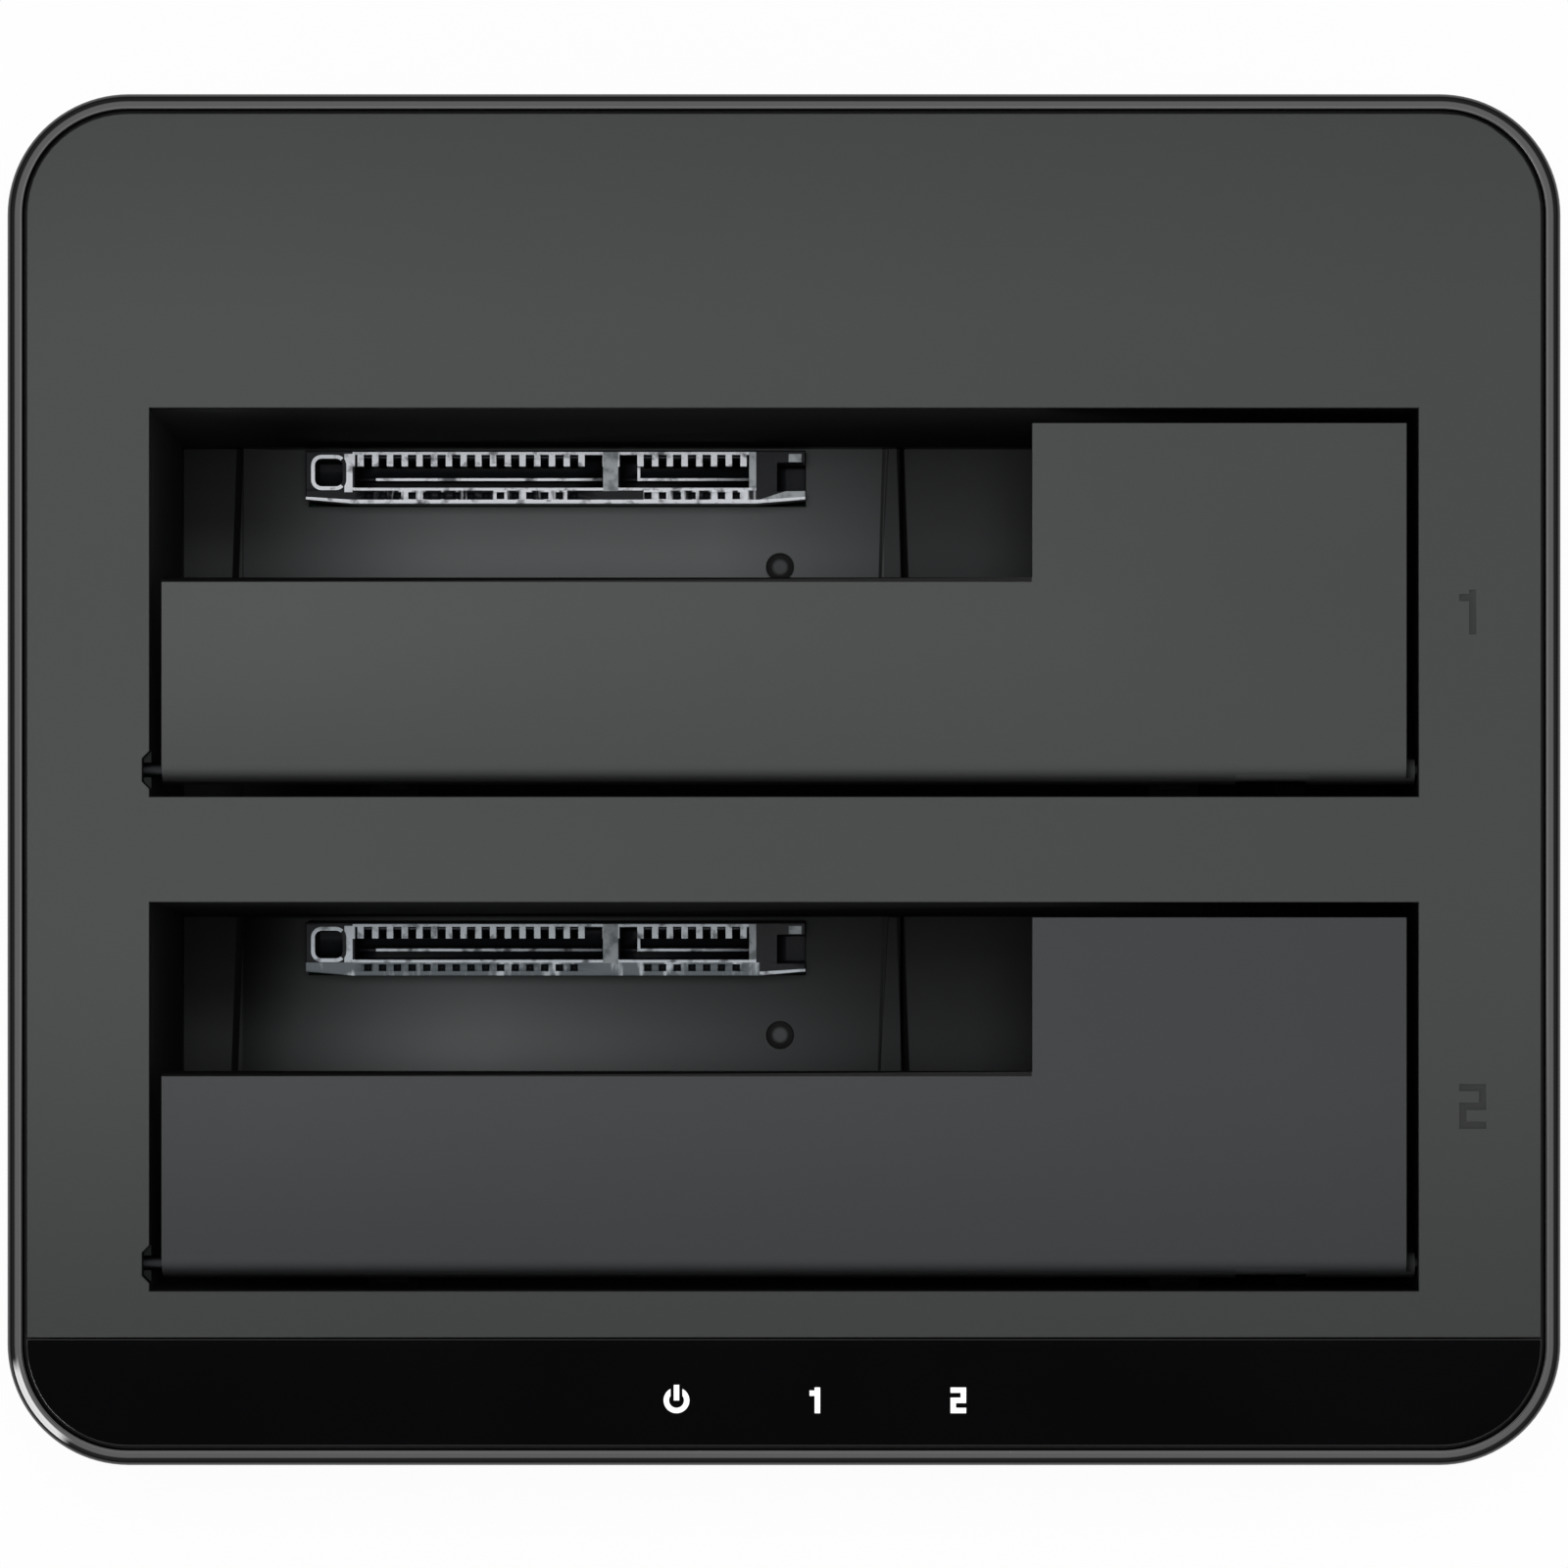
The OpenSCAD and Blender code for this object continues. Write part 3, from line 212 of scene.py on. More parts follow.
def finish(name, paint, **steady):
    """A material. Steady values are set on the shader, and paint gives what varies."""
    made = bpy.data.materials.new(name)
    made.use_nodes = True
    shader = made.node_tree.nodes["Principled BSDF"]
    for socket, value in steady.items():
        shader.inputs[socket.replace("_", " ")].default_value = value
    place = Wire(made.node_tree).node("TexCoord", out="Object")
    for socket, wire in paint(place).items():
        made.node_tree.links.new(wire.socket, shader.inputs[socket])
    finishes[name] = made
    return made


print(len(set(slots.values())), "finishes to make")

# %% [markdown]
# ## Moulded plastics
# Almost all of the station is moulded plastic. The lid and flaps have a fine spark-eroded
# texture: a shallow bump with grains of a sixth of a millimetre and a dull sheen. The housing is
# polished black, and its rim and the front strip are lacquered as well. Only faint waves and wipe
# marks break that gloss. The tray is satin black. Tone and gloss drift a little in all of them.


# %% Textured and polished plastic
def textured_plastic(name, colour, rough, grain=0.16 * MM, depth=0.008 * MM, drift=0.05):
    def paint(place):
        fine = noise(place, grain)
        slow = noise(place, 22 * MM, 3)
        return {
            "Base Color": mix_colour(
                0.7 * slow + 0.3 * fine, times(colour, 1 - drift), times(colour, 1 + drift)),
            "Roughness": rough + 0.10 * (slow - 0.5) + 0.06 * (fine - 0.5),
            "Normal": bump(fine, depth),
        }

    return finish(name, paint, IOR=1.4)


def polished_plastic(name, colour, rough, lacquer_from):
    """Polished plastic with a coat of lacquer above a height."""

    def paint(place):
        wave = noise(place, 3 * MM, 1)
        wipe = noise(place, 14 * MM, 4)
        return {
            "Base Color": mix_colour(wipe, colour, times(colour, 1.5)),
            "Roughness": rough + 0.04 * wipe,
            "Coat Weight": step(along(place, "Z"), lacquer_from, lacquer_from + 0.6 * MM),
            "Normal": bump(wave, 0.001 * MM),
        }

    return finish(name, paint, IOR=1.5, Coat_Roughness=0.03, Coat_IOR=1.8)


textured_plastic("case_black", shade(18, 18, 19), 0.42, grain=0.3 * MM)
textured_plastic("rubber", shade(30, 30, 32), 0.75, grain=0.4 * MM, depth=0.03 * MM)
polished_plastic("gloss_black", shade(5, 5, 6), 0.03, 58 * MM)
print("plastics:", list(finishes))

# %% [markdown]
# ## The lid's grey plastic
# The lid's roundings and sides are painted nearly black as shade, and so is a narrow line of
# painted shade along the edge of a flap that a drive slides past. The height below the lid's top
# tells where an edge starts, a place along Y marks the line, and the sunk bay numbers stay grey.
# The grey is a little paler to the left and rear than to the right and front, and darker again by
# the rear rim, as painted light and shade.

# %% Grey plastic with dark edges
HAIR = 0.02 * MM
LID_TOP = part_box("top_panel")[1].z
NOTCH = 20.45 * MM
FLAP_SHADE_LINE = 0.42 * MM
NUMBER_FROM, NUMBER_TO = 54.5 * MM, 59 * MM


def lid_plastic(name, colour, sway, edge, front, line_at=None):
    """Grey plastic painted dark, as shade, between two depths below the lid's top and behind a
    line.

    edge holds the depths, and line_at is the line's place along Y. sway is how far the tone drifts,
    at random and from left to right as painted light. front holds two places along Y and the share
    of the colour that is left at the first, as painted shade towards the front.
    """

    def paint(place):
        fine = noise(place, 0.16 * MM)
        slow = noise(place, 22 * MM, 3)
        x, y, z = (along(place, letter) for letter in "XYZ")
        # The tone drifts at random and is painted paler to the left, and light darkens it towards
        # the front and by the rear rim: painted light and shade.
        drift = 0.3 * slow + 0.15 * fine + 0.55 * (1 - rise(x, -40 * MM, 50 * MM))
        tone = mix_colour(drift, times(colour, 1 - sway), times(colour, 1 + sway))
        light = step(y, front[0], front[1]) * (1 - 0.5 * rise(y, 38 * MM, 55 * MM))
        tone = mix_colour(light, times(colour, front[2]), tone)
        # Below the lid's top, roundings and sides are painted nearly black as shade; the sunk
        # numbers are kept grey.
        plain = rise(z, LID_TOP - edge[1], LID_TOP - edge[0])
        number = step(x, NUMBER_FROM, NUMBER_FROM + HAIR)
        number = number * (1 - step(x, NUMBER_TO, NUMBER_TO + HAIR))
        plain = plain + (1 - plain) * (0.6 * number)
        # A narrow line of painted shade runs along the flap's edge that a drive slides past, up to
        # the notch.
        if line_at is not None:
            behind = rise(y, line_at - FLAP_SHADE_LINE, line_at - 0.8 * FLAP_SHADE_LINE)
            plain = plain * (1 - behind * (1 - step(x, NOTCH - 0.1 * MM, NOTCH)))
        return {
            "Base Color": mix_colour(plain, times(colour, 0.04), tone),
            "Roughness": 0.56 + 0.10 * (slow - 0.5) + 0.06 * (fine - 0.5),
            "Normal": bump(fine, 0.008 * MM),
        }

    return finish(name, paint, IOR=1.32)


FLAP_SHORT = 15.85 * MM
hinge_y = {flap: sum(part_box(rod), Vector()).y / 2
           for flap, rod in (("flap_1", "hinge_rod_1"), ("flap_2", "hinge_rod_2"))}
nose_shade_depths = (0.19 * MM, 1.3 * MM)
panel_shade_depths = (0.01 * MM, 0.15 * MM)
lid_plastic("panel_grey", shade(66, 68, 67), 0.14, panel_shade_depths, (-52 * MM, -10 * MM, 0.64))
lid_plastic("flap_grey", shade(70, 72, 71), 0.3, nose_shade_depths, (-4 * MM, 14 * MM, 0.85),
            hinge_y["flap_1"] + FLAP_SHORT)
# The front flap's grey is darker than the rear flap's, as painted shade towards the front.
lid_plastic("flap_slate", shade(61, 62, 64), 0.16, nose_shade_depths, (-43 * MM, -22 * MM, 0.72),
            hinge_y["flap_2"] + FLAP_SHORT)
print("lid finishes; hinges at", [round(y / MM, 2) for y in hinge_y.values()])

# %% [markdown]
# ## The bays and their sockets
# The inside of a bay is one dark moulding whose middle pad is paler than the floor beside it,
# and dark lines of painted shade run where the floor steps down and where a rib stands. The pad is
# at a fixed place along the slot, so X marks it, while the lines lean a little and need Y too. The
# floor is painted darker near the rear wall, the pad's tone rises from the left and falls to the
# right, and the floor beside the pad is darker to the left, all painted shade. The walls and the
# floor under the flap are painted black as shade. The sockets are black as well, with their upper
# edges painted pale, partly as worn plastic and partly as painted highlight.

# %% Plastic of a bay
PAD_LEFT, PAD_RIGHT = -47.05 * MM, 10.35 * MM
BAY_FLOOR = 21.5 * MM
FLOOR_UNSHADED = 15 * MM
BLACK = [0, 0, 0, 1]


def bay_plastic(name, rear, pad_colour, side_colour, fall, dim):
    """Plastic of the bay whose rear wall is at that Y, with painted shade.

    fall holds an X and the share by which the pad's tone falls from there on, as painted shade. dim
    is the share of the floor's tone that is left near the rear wall, as painted shade.
    """

    def paint(place):
        fine = noise(place, 0.2 * MM)
        slow = noise(place, 12 * MM, 3)
        x, y, z = (along(place, letter) for letter in "XYZ")
        back = rear - y
        # The pad's tone rises from the left and falls to the right, as painted shade, and stops at
        # the rib.
        pad = step(x, PAD_LEFT - 2 * MM, PAD_LEFT + 20 * MM)
        pad = pad * (1 - fall[1] * rise(x, fall[0], PAD_RIGHT - 2 * MM))
        pad = pad * (1 - step(x, PAD_RIGHT - 1.75 * MM, PAD_RIGHT - 1.6 * MM))
        pad = pad * (0.9 + 0.2 * slow)
        # The floor beside the pad is painted darker to the left, most near the rear wall, and the
        # whole floor darker near the rear wall, as shade.
        left = 0.36 + 0.34 * rise(back, 8 * MM, 12 * MM)
        side = mix_colour(left + (1 - left) * step(x, -30 * MM, 0), BLACK, side_colour)
        floor = mix_colour(pad, side, pad_colour)
        floor = mix_colour(dim + (1 - dim) * rise(back, 5 * MM, 14 * MM), BLACK, floor)
        # Dark lines of painted shade where the floor steps down and beside the rib.
        lines = ((PAD_LEFT - 0.25 * MM, -0.035, 0.25 * MM, 0.0),
                 (PAD_RIGHT - 0.3 * MM, 0.035, 0.3 * MM, 0.0),
                 (PAD_RIGHT - 1.62 * MM, -0.03, 0.08 * MM, 0.3))
        for start, lean, half, share in lines:
            off_shade_line = rise(abs(x - lean * back - start), half, half + 0.1 * MM)
            floor = mix_colour(off_shade_line, times(side_colour, share), floor)
        # The walls and the floor under the flap are painted nearly black as shade, the left wall
        # less so.
        bare = 1 - step(z, BAY_FLOOR + 0.9 * MM, BAY_FLOOR + 2 * MM)
        bare = bare * (1 - step(back, FLOOR_UNSHADED, FLOOR_UNSHADED + 3 * MM))
        bare = bare * (1 - step(x, NOTCH + 1 * MM, NOTCH + 4 * MM))
        wall_left_shade, wall_rest_shade = times(side_colour, 0.5), times(side_colour, 0.03)
        wall = mix_colour(step(x, -50 * MM, -40 * MM), wall_left_shade, wall_rest_shade)
        return {
            "Base Color": mix_colour(bare, wall, floor),
            "Roughness": 0.92 - 0.42 * bare + 0.12 * (slow - 0.5),
            "Normal": bump(fine, 0.01 * MM),
        }

    return finish(name, paint, IOR=1.25)


bay_plastic("well_grey", 30.6 * MM, shade(101, 103, 104), shade(54, 55, 56), (-6 * MM, 0.7), 0.55)
# The front bay's copy has darker tones throughout, as painted shade.
bay_plastic("well_shade", -10.1 * MM, shade(93, 95, 96), shade(42, 43, 44), (-26 * MM, 0.98), 0.4)
print("bays:", list(finishes)[-2:])


# %% Plastic of sockets and pegs
def scuffed_and_highlit_plastic(name, colour, bare, low, high, across=1.0):
    """Plastic with bare patches, pale as worn plastic and as painted highlight, from none where
    some noise is low to all where it is high.

    Less than 1 across draws the patches out along Y and Z.
    """

    def paint(place):
        spread = place.node("Mapping", None, {"Vector": place, "Scale": (1, across, across)})
        patch = step(noise(spread, 1.1 * MM, 3), low, high)
        fine = noise(place, 0.12 * MM)
        return {
            "Base Color": mix_colour(patch * (0.85 + 0.3 * fine), colour, bare),
            "Roughness": 0.36 + 0.2 * patch,
            "Normal": bump(fine, 0.006 * MM),
        }

    return finish(name, paint, IOR=1.4)


PEG_X, PEG_Y = -0.35 * MM, (-22.2 * MM, 18.5 * MM)


def peg_plastic(name, colour, edge):
    """Plastic of the two pegs, painted dark round the middle of each as the shade of its hole."""

    def paint(place):
        x, y = along(place, "X"), along(place, "Y")
        off_x, off_y = x - PEG_X, abs(y - sum(PEG_Y) / 2) - (PEG_Y[1] - PEG_Y[0]) / 2
        slow = noise(place, 0.4 * MM)
        away_2 = off_x * off_x + off_y * off_y + (0.1 * MM) ** 2 * (slow - 0.5)
        return {
            "Base Color": mix_colour(step(away_2, (0.4 * MM) ** 2, (0.8 * MM) ** 2), colour, edge),
            "Roughness": 0.5 + 0.1 * slow,
        }

    return finish(name, paint, IOR=1.4)


# The pale colours stand partly for worn plastic and partly for painted highlight on the sockets'
# edges. The second bay's finishes are darker copies, as painted shade.
pale_wear_and_highlight, grey_wear_and_highlight = shade(226, 229, 234), shade(188, 195, 201)
textured_plastic("socket_black", shade(20, 21, 24), 0.40, grain=0.1 * MM)
scuffed_and_highlit_plastic("socket_edge_1", shade(96, 98, 102), pale_wear_and_highlight, 0.28, 0.5)
scuffed_and_highlit_plastic("socket_scuffed", shade(22, 23, 26), pale_wear_and_highlight, 0.42, 0.54, 0.15)
scuffed_and_highlit_plastic("socket_edge_2", shade(84, 87, 90), grey_wear_and_highlight, 0.28, 0.5)
scuffed_and_highlit_plastic("socket_band", shade(92, 99, 103), grey_wear_and_highlight, 0.52, 0.7, 0.3)
scuffed_and_highlit_plastic("socket_dull_1", shade(106, 110, 112), shade(160, 165, 168), 0.3, 0.6)
scuffed_and_highlit_plastic("socket_dull_2", shade(86, 91, 93), shade(136, 141, 144), 0.3, 0.6)
socket_worn_and_highlit = {"1": ("socket_edge_1", "socket_scuffed", "socket_dull_1"),
               "2": ("socket_edge_2", "socket_band", "socket_dull_2")}
# The pegs' dark ring is painted shade of the holes they sit in.
peg_plastic("peg_grey", shade(66, 68, 69), shade(14, 14, 15))
print("sockets and pegs:", list(finishes)[-8:])

# %% [markdown]
# ## Metals
# Contacts, rods and shells are small and mostly seen as glints. Drawn or rolled metal has fine
# lines along it, which noise gives when it is stretched along one axis, and dull patches where
# the plating is thin. Both go into the roughness, with a slight bump.


# %% Drawn and plated metal
def metal(name, colour, rough, drawn, line=0.05 * MM):
    """Metal whose drawing lines run along X, Y or Z."""

    def paint(place):
        stretch = [0.04 if letter == drawn else 1 for letter in "XYZ"]
        lines = noise(place.node("Mapping", None, {"Vector": place, "Scale": stretch}), line)
        dull = noise(place, 2.5 * MM, 3)
        return {
            "Base Color": mix_colour(dull, colour, times(colour, 0.72)),
            "Roughness": rough + 0.16 * (dull - 0.5) + 0.12 * (lines - 0.5),
            "Normal": bump(lines, 0.002 * MM),
        }

    return finish(name, paint, Metallic=1.0)


# The steel is dark as painted shade: the rods show only deep in their pockets.
metal("steel", shade(52, 53, 56), 0.42, "X")
metal("screw_black", shade(70, 70, 74), 0.42, "Z")
metal("contact_gold", shade(226, 190, 112), 0.28, "Y")
# The tin is darker than bare tin, as painted shade for contacts deep in their sockets.
metal("contact_tin", shade(120, 122, 128), 0.3, "Z")
metal("shell_metal", shade(205, 205, 207), 0.24, "Y", 0.12 * MM)
metal("can_metal", shade(188, 190, 194), 0.36, "Z")
print("metals:", list(finishes)[-6:])

# %% [markdown]
# ## The finishes inside
# Circuit boards have copper tracks under a green mask, a flat cable has ribs where its wires lie
# side by side, and the marks in the gloss strip are white light guides. Tracks come from a cell
# pattern whose borders are thin lines, and ribs from a wave across the cable.


# %% Boards, chips, cable and light guides
def board_mask(name):
    def paint(place):
        border = place.node("TexVoronoi", {"feature": "DISTANCE_TO_EDGE"}, {
            "Vector": place, "Scale": 1 / (4 * MM), "Randomness": 0.8})
        track = 1 - step(border, 0.03, 0.06)
        return {
            "Base Color": mix_colour(track, shade(7, 28, 18), shade(16, 54, 33)),
            "Roughness": 0.30 + 0.1 * noise(place, 0.3 * MM),
            "Normal": bump(track, 0.03 * MM),
        }

    return finish(name, paint, IOR=1.5)


def ribbed_cable(name):
    def paint(place):
        wave = place.node("TexWave", {"bands_direction": "X"}, {"Vector": place, "Scale": 0.3 / MM})
        return {
            # The grooves between the wires are painted darker than the ribs, as shade.
            "Base Color": mix_colour(wave, shade(96, 97, 100), shade(150, 151, 154)),
            "Roughness": 0.45 + 0.1 * noise(place, 8 * MM),
            "Normal": bump(wave, 0.1 * MM),
        }

    return finish(name, paint, IOR=1.5)


# The marks glow faintly through their emission, as if lit from behind; no lamp lies behind them.
def light_guide(name, colour):
    def paint(place):
        cloud = noise(place, 0.5 * MM)
        tone = mix_colour(cloud, colour, times(colour, 0.94))
        return {"Base Color": tone, "Emission Color": tone, "Roughness": 0.3 + 0.1 * cloud}

    return finish(name, paint, IOR=1.49, Emission_Strength=0.45)


board_mask("board_green")
textured_plastic("chip_black", shade(30, 30, 32), 0.55, grain=0.1 * MM)
textured_plastic("coil_grey", shade(62, 62, 64), 0.60, grain=0.3 * MM, depth=0.03 * MM)
textured_plastic("header_white", shade(226, 222, 208), 0.45)
textured_plastic("port_blue", shade(24, 48, 120), 0.40)
textured_plastic("mark_white", shade(236, 236, 232), 0.45)
ribbed_cable("cable_grey")
light_guide("icon_white", shade(250, 250, 250))
print("inside:", list(finishes)[-8:])

# %% [markdown]
# ## Every solid gets its finish
# The record names a material slot for each solid, and the finishes have the same names, so one
# loop paints them all. The flat colours that came with the frame are not needed after that.

# %% Paint the solids
for name, solid in nodes.items():
    solid.data.materials[0] = finishes[slots[name]]
for flat in [m for m in bpy.data.materials if m.name.startswith("flat_")]:
    bpy.data.materials.remove(flat)
print("painted", len(nodes), "solids")

# %% [markdown]
# ## From a mesh to a piece
# Every piece ends the same way: its mesh gets its finishes, its faces are shaded smooth except
# over sharp edges, it rides on a body and hides the solids that it stands for. A
# weighted-normals modifier keeps flat faces flat where a narrow rounding meets them.

# %% Piece maker
SMOOTH_UP_TO = math.radians(50)


def piece(name, bm, finish_names, stands_for=(), body="dock"):
    """Makes an object of a bmesh. Without a body it rides on none."""
    mesh = bpy.data.meshes.new(name)
    bm.to_mesh(mesh)
    bm.free()
    for finish_name in finish_names:
        mesh.materials.append(finishes[finish_name])
    mesh.polygons.foreach_set("use_smooth", [True] * len(mesh.polygons))
    mesh.set_sharp_from_angle(angle=SMOOTH_UP_TO)
    made = bpy.data.objects.new(name, mesh)
    bpy.context.scene.collection.objects.link(made)
    made.modifiers.new("flat_faces", "WEIGHTED_NORMAL").keep_sharp = True
    if body:
        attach(made, body)
    if stands_for:
        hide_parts(*stands_for)
    return made


# %% [markdown]
# ## The gloss rim
# The upper housing is a bent wall with a rounded rim, the same section all the way round, so it
# is swept: the section's outline is drawn once as edges, then pushed along each side and spun
# through each corner. That gives the rim far finer rounding than the solid has, which counts,
# because lacquer shows every facet.

# %% Section of the housing
WALL, RIM, LEDGE = 2.2 * MM, 1.3 * MM, 3.3 * MM
RIM_ROUND = 1.2 * MM
SEAM_ROUND = 0.25 * MM
CREST_ROUND = 0.05 * MM
CORNER = 10 * MM

low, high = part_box("upper_case")
outside = high.x
lid_under = LID_TOP - 2.0 * MM
ledge_under = lid_under - 2.0 * MM
shell_bm = bmesh.new()


def line_to(vert, inwards, z):
    """Draws a straight line to a point that far inside the housing's side."""
    new = bmesh.ops.extrude_vert_indiv(shell_bm, verts=[vert])["verts"][0]
    new.co = (outside - inwards, new.co.y, z)
    return new


def quarter_turn(vert, inwards, z, steps):
    """Draws a quarter of a circle about a middle, from outside to top or from top to inside."""
    turned = bmesh.ops.spin(
        shell_bm, geom=[vert], cent=(outside - inwards, vert.co.y, z), axis=(0, 1, 0),
        angle=-math.pi / 2, steps=steps)["geom_last"]
    return next(g for g in turned if isinstance(g, bmesh.types.BMVert))


side_start = low.y + CORNER
first = shell_bm.verts.new((outside - SEAM_ROUND, side_start, low.z))
pen = quarter_turn(first, SEAM_ROUND, low.z + SEAM_ROUND, 4)
pen = line_to(pen, 0, high.z - RIM_ROUND)
pen = quarter_turn(pen, RIM_ROUND, high.z - RIM_ROUND, 16)
pen = line_to(pen, RIM - CREST_ROUND, high.z)
pen = quarter_turn(pen, RIM - CREST_ROUND, high.z - CREST_ROUND, 3)
for inwards, z in ((RIM, lid_under), (LEDGE, lid_under), (LEDGE, ledge_under), (WALL, ledge_under),
                   (WALL, low.z)):
    pen = line_to(pen, inwards, z)
shell_bm.edges.new((pen, first))
print("section of", len(shell_bm.verts), "points")

# %% Sweep it round the housing
CORNER_STEPS = 24


def ends_of(edges):
    return list(dict.fromkeys(v for e in edges for v in e.verts))


def push(bm, edges, way):
    """Extrudes edges along a vector and returns the new edges."""
    before = set(bm.verts)
    bmesh.ops.extrude_edge_only(bm, edges=edges)
    fresh = set(bm.verts) - before
    bmesh.ops.translate(bm, verts=list(fresh), vec=way)
    return [e for e in bm.edges if fresh.issuperset(e.verts)]


turn_x, turn_y = high.x - CORNER, high.y - CORNER
ring = list(shell_bm.edges)
for way, middle in (((0, 2 * turn_y, 0), (turn_x, turn_y, 0)),
                    ((-2 * turn_x, 0, 0), (-turn_x, turn_y, 0)),
                    ((0, -2 * turn_y, 0), (-turn_x, -turn_y, 0)),
                    ((2 * turn_x, 0, 0), (turn_x, -turn_y, 0))):
    ring = push(shell_bm, ring, way)
    corner = bmesh.ops.spin(
        shell_bm, geom=ring + ends_of(ring), cent=middle, axis=(0, 0, 1),
        angle=math.pi / 2, steps=CORNER_STEPS)["geom_last"]
    ring = [g for g in corner if isinstance(g, bmesh.types.BMEdge)]
WELD = 0.001 * MM
bmesh.ops.remove_doubles(shell_bm, verts=shell_bm.verts, dist=WELD)
print(len(shell_bm.faces), "faces, open edges", sum(e.is_boundary for e in shell_bm.edges))

# %% [markdown]
# ## The window for the ports
# The rear wall has a window, and a frame runs inwards from it to the port plate. Both skins of
# the wall are cut along the window's sides and the middle is taken out. The outer hole's edge
# is then pushed in, spread and brought back to the inner hole, which makes the frame.

# %% Cut the window and draw its frame in
WINDOW_X, WINDOW_LOW, WINDOW_HIGH = 40 * MM, 13.5 * MM, 28.5 * MM
FRAME = 1.5 * MM
RECESS = 4 * MM


def cut_hole(bm, at_y, spread):
    """Cuts a rectangle out of the rear wall's skin at that Y."""
    skin = [f for f in bm.faces if all(abs(v.co.y - at_y) < HAIR for v in f.verts)]
    planes = [((s * (WINDOW_X + spread), 0, 0), (1, 0, 0)) for s in (-1, 1)]
    planes += [((0, 0, WINDOW_LOW - spread), (0, 0, 1)), ((0, 0, WINDOW_HIGH + spread), (0, 0, 1))]
    for point, normal in planes:
        edges = list(dict.fromkeys(e for f in skin for e in f.edges))
        parts = skin + edges + ends_of(edges)
        bmesh.ops.bisect_plane(bm, geom=parts, plane_co=point, plane_no=normal, dist=WELD)
        skin = [f for f in bm.faces if all(abs(v.co.y - at_y) < HAIR for v in f.verts)]
    middle = [f for f in skin if abs(f.calc_center_median().x) < WINDOW_X + spread
              and WINDOW_LOW - spread < f.calc_center_median().z < WINDOW_HIGH + spread]
    bmesh.ops.delete(bm, geom=middle, context="FACES")


cut_hole(shell_bm, high.y - WALL, FRAME)
cut_hole(shell_bm, high.y, 0)
mouth = [e for e in shell_bm.edges if e.is_boundary and e.verts[0].co.y > high.y - HAIR]
edge = push(shell_bm, mouth, (0, -RECESS, 0))
edge = push(shell_bm, edge, (0, 0, 0))
window_middle = Matrix.Translation((0, 0, -(WINDOW_LOW + WINDOW_HIGH) / 2))
spread = (1 + FRAME / WINDOW_X, 1, 1 + 2 * FRAME / (WINDOW_HIGH - WINDOW_LOW))
bmesh.ops.scale(shell_bm, vec=spread, space=window_middle, verts=ends_of(edge))
push(shell_bm, edge, (0, RECESS - WALL, 0))
bmesh.ops.remove_doubles(shell_bm, verts=shell_bm.verts, dist=WELD)
bmesh.ops.recalc_face_normals(shell_bm, faces=shell_bm.faces)
print("open edges after the window", sum(e.is_boundary for e in shell_bm.edges))

# %% [markdown]
# ## Rounded edges
# No moulded edge is perfectly sharp, and the thin glint along it is much of what makes plastic
# look real. The bevel operator rounds the outward edges that a rule picks. Where a solid has the
# right shape already, a copy of it is merged into one skin, its flat triangles are joined into
# whole faces, and only its edges change.

# %% Soften edges, and finish the housing
FLAT = math.radians(0.5)
SHARP = math.radians(40)


def skin_of(node):
    bm = bmesh.new()
    bm.from_mesh(nodes[node].data)
    bmesh.ops.remove_doubles(bm, verts=bm.verts, dist=WELD)
    bmesh.ops.dissolve_limit(bm, angle_limit=FLAT, verts=bm.verts, edges=bm.edges)
    return bm


def soften(bm, width, picked, segments=3):
    """Rounds the outward sharp edges that the rule picks and returns the new faces."""
    edges = [e for e in bm.edges
             if e.is_manifold and e.is_convex and e.calc_face_angle() > SHARP and picked(e)]
    return bmesh.ops.bevel(
        bm, geom=edges, offset=width, affect="EDGES", segments=segments,
        profile=0.5, material=-1, clamp_overlap=True)["faces"]


def between(low_z, high_z):
    """Picks edges that lie wholly between two heights."""
    return lambda edge: all(low_z - HAIR < v.co.z < high_z + HAIR for v in edge.verts)


def at_window(edge):
    return all(v.co.y > high.y - HAIR and abs(v.co.x) < WINDOW_X + HAIR
               and WINDOW_LOW - HAIR < v.co.z < WINDOW_HIGH + HAIR for v in edge.verts)


def inwards(place):
    """How far a place lies inside the outline of the housing."""
    over = Vector((abs(place.x) - turn_x, abs(place.y) - turn_y))
    return CORNER - (over.length if min(over) > 0 else max(over))


soften(shell_bm, 0.4 * MM, at_window, 4)
for face in shell_bm.faces:
    face.material_index = int(inwards(face.calc_center_median()) > RIM - HAIR)
shell = piece(
    "gloss_housing", shell_bm, ["gloss_black", "case_black"], ["upper_case"])
print("housing", len(shell.data.polygons), "faces")

# %% [markdown]
# ## The lid: panel and gloss strip
# The panel is one plate with two slots. Its upper edges are rounded by a quarter of a
# millimetre, but the bay numbers are too fine for that and are only just eased.

# %% Panel and strip
PANEL_ROUND = 0.25 * MM
ICON_REACH = 2 * MM

at_top = between(LID_TOP, LID_TOP)
icon_middles = [sum(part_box(n), Vector()) / 2 for n in ("power_icon", "bay_icon_1", "bay_icon_2")]


def in_number(edge):
    return all(NUMBER_FROM < v.co.x < NUMBER_TO for v in edge.verts)


def in_icon(edge):
    return any((v.co.xy - m.xy).length < ICON_REACH for v in edge.verts for m in icon_middles)


panel_bm = skin_of("top_panel")
soften(panel_bm, PANEL_ROUND, lambda e: at_top(e) and not in_number(e))
soften(panel_bm, 0.06 * MM, lambda e: at_top(e) and in_number(e), 1)
panel = piece("panel", panel_bm, ["panel_grey"], ["top_panel"])

